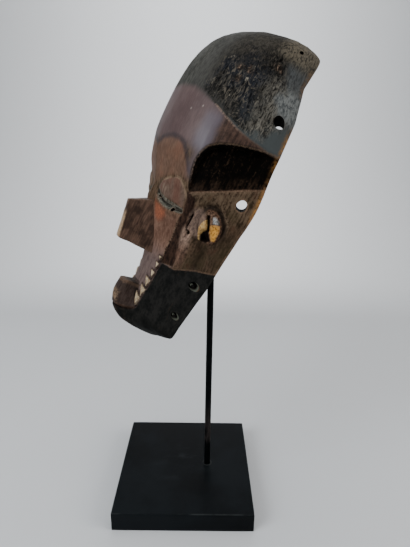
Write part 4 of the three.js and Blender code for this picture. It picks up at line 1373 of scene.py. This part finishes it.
def skin_finish():
    """Painted, worn and polished outside of the mask."""
    wood = SkinWood()
    cap, hacked, painted, speck = wood.cap, wood.hacked, wood.painted, wood.speck
    colour = cheek_colour(wood)
    for lay in (lay_forehead, lay_brow, lay_face, lay_ridge, lay_eye, lay_temple):
        lay(wood, colour)
    colour.lay(wood.mix(smooth_cap_colour(wood), hacked_cap_colour(wood), hacked), cap)
    for lay in (lay_jaw, lay_teeth, lay_ear, lay_lines, lay_wear, lay_rim):
        lay(wood, colour)
    rough = (painted * 0.5 + hacked * cap * 0.5).least(1)
    roughness = 0.5 + rough * 0.25 + (speck - 0.5) * 0.2
    polish = wood.forehead * (1 - painted) * (1 - wood.temple_side * 0.7) * wood.height.step(126, 150)
    bare = 1 - (wood.jaw + cap + wood.zone("temple").step(-1, 1)).least(1)
    coat = bare * 0.03 + polish * 0.5 + cap * (1 - hacked) * wood.way.step(60, 36) * 0.04
    relief_map = wood.grain * 0.5 + wood.fine * 0.3 + speck * (0.2 + 0.5 * cap)
    relief_map = relief_map + wood.strokes * hacked * cap
    return wood.finish(colour, roughness, relief_map, 0.5, 0.0004, coat.most(0))


def inside_finish():
    """Bare, smoke-browned wood of the hollow and the worn rim, with painted shade in the drilled holes and
    a painted highlight on the lips of the jaw's holes.
    """
    wood = Finish("mask hollow", roughness=0.75, Specular_IOR_Level=0.04)
    place = wood.place()
    grain = wood.noise(place, 1.4, (1, 1, 9), 4)
    cloud = wood.noise(place, 18, (1, 1, 1.5), 4)
    speck = wood.noise(place, 0.9, (1, 1, 1.6), 5, 0.7)
    colour = wood.mix((46, 34, 25), (92, 70, 50), grain.step(0.32, 0.68))
    colour.lay((36, 27, 21), cloud.step(0.42, 0.62) * 0.7)
    colour.lay((24, 18, 14), speck.step(0.56, 0.7) * 0.6)
    height = wood.zone("height")
    worn = height.step(112, 128) * height.step(196, 186)
    worn = worn + height.step(212, 222) * height.step(244, 236) * 0.6
    rim = (wood.zone("rim") + (cloud - 0.5) * 6).step(3.0, 0) * worn
    colour.lay((142, 100, 54), rim * speck.step(0.34, 0.6) * 0.7)
    bored = wood.zone("bore").step(-0.2, 0.2)
    jaw_rim = wood.zone("rim").step(2.5, 1) * height.step(78, 73)
    colour.lay((13, 12, 10), jaw_rim * 0.9)
    # Painted shade: near-black on the walls of the drilled holes.
    colour.lay((6, 5, 4), bored * 0.95)
    # Painted highlight: grey-green on the outer lips of the jaw's holes.
    painted = bored * height.step(80, 70)
    colour.lay((86, 88, 78), painted * wood.zone("depth").step(-2.6, -1) * 0.8)
    return wood.finish(colour, 0.68 + (speck - 0.5) * 0.3, grain + speck * 0.5, 0.6, 0.0004)


def nose_finish():
    """Dark side, pale worn ridge down the front."""
    wood = Finish("mask nose", Specular_IOR_Level=0.2)
    place = wood.place()
    grain = wood.noise(place, 1.4, (1, 1, 7), 4)
    cloud = wood.noise(place, 9, (1, 1, 1.3), 4)
    speck = wood.noise(place, 0.9, (1, 1, 1.5), 5, 0.7)
    relief = wood.zone("relief")
    colour = wood.mix((66, 48, 37), (100, 75, 61), grain.step(0.36, 0.68))
    colour.lay((38, 24, 16), cloud.step(0.48, 0.62) * 0.7)
    height = wood.zone("height")
    ahead = wood.zone("front") - NOSE_SLOPE * (height - NOSE["tip"][0])
    low = (height + (cloud - 0.5) * 12).step(94, 86)
    front = (ahead + (cloud - 0.5) * 1.5).step(57.4, 58.7) * low
    pale = wood.mix((150, 120, 90), (190, 164, 132), speck.step(0.35, 0.65))
    colour.lay(pale, front * 0.85)
    colour.lay((128, 98, 76), relief.step(0.1, 0.34) * speck.step(0.42, 0.62) * 0.4)
    colour.lay((18, 13, 11), relief.step(-0.1, -0.4) * 0.7)
    return wood.finish(colour, 0.5 + (speck - 0.5) * 0.3, grain + speck * 0.5, 0.5, 0.0004)


def mask_piece():
    """The whole mask: skin, hollow, nose and drilled holes in one mesh."""
    skin, inside, nose = skin_finish(), inside_finish(), nose_finish()
    points, faces, skin_faces = mask_mesh()
    parts = [0] * skin_faces + [1] * (len(faces) - skin_faces)
    mask = new_piece("carved_mask", placed(np.array(points)), faces, [skin, inside], parts)
    joined(mask, nose_piece(nose), "UNION")
    joined(mask, cutters_piece(inside), "DIFFERENCE")
    record_zones(mask.data)
    soften(mask.data, SHARP_WOOD)
    return mask


# Stand
def on_circle(radius, share, height):
    """Point a share of the way round a level circle."""
    angle = 2 * math.pi * share
    return Vector((radius * math.cos(angle), radius * math.sin(angle), height))


def ring_faces(rings, sides, start=0):
    """Faces between rings of points that follow each other from a first point on."""
    faces = []
    for first in range(start, start + (rings - 1) * sides, sides):
        for k in range(sides):
            following = (k + 1) % sides
            faces.append([first + k, first + following, first + sides + following, first + sides + k])
    return faces


def tube(start, end, radius, sides=48, dome=0.0):
    """Round bar between two points, its far end softened to a dome of a depth."""
    start, end = Vector(start), Vector(end)
    turn = (end - start).to_track_quat("Z", "Y").to_matrix()
    length = (end - start).length
    rings = [(0, radius)]
    if dome:
        for k in range(DOME_STEPS):
            angle = math.pi / 2 * k / DOME_STEPS
            rings.append((length - dome + dome * math.sin(angle), radius * math.cos(angle)))
    else:
        rings.append((length, radius))
    points = [
        start + turn @ on_circle(reach, k / sides, height) for height, reach in rings for k in range(sides)
    ]
    last = (len(rings) - 1) * sides
    faces = [list(range(sides))[::-1]] + ring_faces(len(rings), sides)
    return np.array(points), faces + [list(range(last, last + sides))]


def ball(centre, radius, rings=16, sides=32):
    centre = Vector(centre)
    points = [centre + Vector((0, 0, -radius))]
    for i in range(1, rings):
        angle = math.pi * i / rings - math.pi / 2
        flat, height = radius * math.cos(angle), radius * math.sin(angle)
        points += [centre + on_circle(flat, k / sides, height) for k in range(sides)]
    points.append(centre + Vector((0, 0, radius)))
    last = 1 + (rings - 2) * sides
    faces = [[0, 1 + (k + 1) % sides, 1 + k] for k in range(sides)]
    faces += ring_faces(rings - 1, sides, 1)
    faces += [[last + k, last + (k + 1) % sides, len(points) - 1] for k in range(sides)]
    return np.array(points), faces


def rod_finish():
    """Black paint with dust, and a little above the base a scuffed brown stretch that carries a painted
    reflection.
    """
    paint = Finish("rod paint", Specular_IOR_Level=0.03)
    place = paint.node("TexCoord", output="Object")
    cloud = paint.noise(place, 0.02, detail=4)
    dust = paint.noise(place, 0.0016, (1, 1, 5), 4, 0.7)
    colour = paint.mix((4, 6, 7), (18, 21, 22), dust.step(0.45, 0.7) * 0.6)
    colour.lay((52, 52, 50), dust.step(0.66, 0.74) * 0.4)
    up = paint.node("SeparateXYZ", None, {"Vector": place}, 2)
    # Scuffed brownish grey with a painted reflection, a little above the base.
    rub_and_sheen = up.step(*SCUFF_AND_SHEEN_FROM) * up.step(*SCUFF_AND_SHEEN_TO)
    colour.lay((56, 50, 48), rub_and_sheen * dust.step(0.3, 0.6) * 0.6)
    return paint.finish(colour, 0.34 + cloud * 0.2, dust, 0.15, 0.0001)


def stand_piece(finish):
    """Rod with its peg, cross arm and chin arm, welded into one."""
    heights = (BASE_THICK - ROD_DEPTH + FIT_GAP, ROD_TOP, SIDE_ARM_HEIGHT, CHIN_ARM_HEIGHT)
    foot, top, cross, chin = [Vector((0, ROD_OFFSET, height)) for height in heights]
    side_arm, chin_arm = Vector(SIDEWAYS) * SIDE_ARM_HALF, Vector(FORWARD) * CHIN_ARM_REACH
    bars = [ball(top, PEG_RADIUS)]
    for middle, arm in ((cross, side_arm), (cross, -side_arm), (chin, chin_arm)):
        bars.append(tube(middle, middle + arm, ARM_DIAMETER / 2, 32, ARM_DOME))
    points, faces = tube(foot, top, ROD_DIAMETER / 2)
    rod = new_piece("painted_rod", points * MM, faces, [finish])
    for bar_points, bar_faces in bars:
        joined(rod, new_piece("bar", bar_points * MM, bar_faces, [finish]), "UNION")
    soften(rod.data, SHARP_STAND)
    return rod


def lacquer_finish():
    """Black satin lacquer with dust, rubbed edges, and smudges near the middle whose bluish grey is partly
    a painted sheen.
    """
    lacquer = Finish("base lacquer", Specular_IOR_Level=0.06)
    place = lacquer.node("TexCoord", output="Object")
    cloud = lacquer.noise(place, 0.05, detail=4)
    dust = lacquer.noise(place, 0.0022, detail=5, roughness=0.75)
    smear = lacquer.noise(place, 0.012, (1, 1.6, 1), 4)
    rub_and_sheen = lacquer.noise(place, 0.012, (1, 6, 1), 4)
    colour = lacquer.mix((6, 8, 10), (16, 20, 23), cloud.step(0.35, 0.7))
    colour.lay((70, 72, 70), dust.step(0.66, 0.74) * 0.5)
    across, along, up = [lacquer.node("SeparateXYZ", None, {"Vector": place}, k) for k in range(3)]
    # Smudges near the middle of the board, bluish grey as a painted sheen over the dust.
    from_middle = (across * across + along * along) ** 0.5
    colour.lay((42, 46, 47), from_middle.step(0.04, 0.005) * smear.step(0.48, 0.7) * 0.45)
    behind_rod = along - ROD_OFFSET * MM
    from_rod = (across * across + behind_rod * behind_rod) ** 0.5
    ring = (from_rod - RING_RADIUS).size().step(0.0009, 0.0002)
    colour.lay((66, 68, 66), ring * smear.step(0.36, 0.56) * 0.55)
    reach = across.size().most(along.size())
    edge_line = reach.step(*EDGE_ACROSS) * up.step(*EDGE_UP)
    colour.lay((50, 53, 53), edge_line * smear.step(0.4, 0.6) * 0.7)
    roughness = 0.36 + cloud * 0.14 + rub_and_sheen.step(0.5, 0.75) * 0.08
    return lacquer.finish(colour, roughness, dust + cloud * 0.5, 0.12, 0.0002)


def base_piece(finish):
    """Board with softly broken edges and the bore that holds the rod."""
    half = BASE_SIDE / 2
    cube, faces = rounded_box(BASE_CUTS, (BASE_SIDE, BASE_SIDE, BASE_THICK), BASE_EDGE)
    points = np.stack([cube[:, 0] * half, cube[:, 1] * half, (cube[:, 2] + 1) * BASE_THICK / 2], -1)
    board = new_piece("lacquered_base", points * MM, faces, [finish])
    low = (0, ROD_OFFSET, BASE_THICK - ROD_DEPTH)
    high = (0, ROD_OFFSET, BASE_THICK + ROD_DEPTH)
    bore_points, bore_faces = tube(low, high, ROD_DIAMETER / 2 + FIT_GAP)
    joined(board, new_piece("bore", bore_points * MM, bore_faces, [finish]), "DIFFERENCE")
    soften(board.data, SHARP_STAND)
    return board


# Stage
def sweep_finish():
    """Plain matt paper."""
    paper = Finish("paper sweep", roughness=0.9)
    paper.feed(paper.shader.inputs["Base Color"], shade(*PAPER))
    return paper.material


def sweep_piece():
    """Pale floor that curves up into a wall behind the object."""
    profile = [(SWEEP_NEAR, 0.0), (SWEEP_FAR + SWEEP_ROUND, 0.0)]
    for k in range(1, SWEEP_STEPS + 1):
        angle = math.pi / 2 * k / SWEEP_STEPS
        profile.append((
            SWEEP_FAR + SWEEP_ROUND - SWEEP_ROUND * math.sin(angle),
            SWEEP_ROUND - SWEEP_ROUND * math.cos(angle),
        ))
    profile.append((SWEEP_FAR, SWEEP_TALL))
    points = [(x, y, z) for x, z in profile for y in (-SWEEP_HALF, SWEEP_HALF)]
    faces = [[2 * k, 2 * k + 2, 2 * k + 3, 2 * k + 1] for k in range(len(profile) - 1)]
    mesh = bpy.data.meshes.new("paper_sweep")
    mesh.from_pydata(points, [], faces)
    mesh.materials.append(sweep_finish())
    for polygon in mesh.polygons:
        polygon.use_smooth = True
    return linked("paper_sweep", mesh)


def soft_light(name, place, aim, size, power, tint=(1, 1, 1)):
    light = bpy.data.lights.new(name, "AREA")
    light.shape = "RECTANGLE"
    light.size, light.size_y = size
    light.energy = power
    light.color = tint
    lamp = linked(name, light)
    lamp.location = place
    lamp.rotation_euler = (Vector(aim) - Vector(place)).to_track_quat("-Z", "Y").to_euler()


def studio():
    """Soft lights from above, from both sides and on the wall."""
    world = bpy.data.worlds.new("studio")
    world.use_nodes = True
    world.node_tree.nodes["Background"].inputs["Color"].default_value = (0.93, 0.96, 1.0, 1)
    world.node_tree.nodes["Background"].inputs["Strength"].default_value = AMBIENT
    bpy.context.scene.world = world
    soft_light("overhead", (-0.1, 0.05, 1.5), (-0.05, 0, 0.2), (1.2, 1.2), 12)
    soft_light("left", (0.75, -0.95, 0.95), (0, 0, 0.2), (0.8, 0.8), 16.5, (0.92, 0.96, 1.0))
    soft_light("right", (0.45, 1.25, 0.85), (0, 0, 0.2), (0.9, 0.9), 12, (1.0, 0.98, 0.96))
    soft_light("wall", (-0.9, 0, 1.5), (-1.7, 0, 1.25), (0.5, 2.4), 26)


def photo_camera():
    """Camera of the photograph."""
    camera = bpy.data.cameras.new("photo camera")
    camera.sensor_width = SENSOR
    camera.lens = FOCAL_PIXELS / max(PHOTO_WIDTH, PHOTO_HEIGHT) * SENSOR
    camera.clip_start = 0.01
    viewer = linked("photo camera", camera)
    axes = Matrix((CAMERA_RIGHT, CAMERA_UP, tuple(-value for value in CAMERA_AHEAD))).transposed()
    viewer.matrix_world = Matrix.Translation(CAMERA_PLACE) @ axes.to_4x4()
    bpy.context.scene.camera = viewer


photo_camera()
studio()
sweep_piece()

mask = mask_piece()
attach(mask, "root")
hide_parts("mask")

rod = stand_piece(rod_finish())
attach(rod, "root")
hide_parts("stand_rod")

base = base_piece(lacquer_finish())
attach(base, "root")
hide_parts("base")
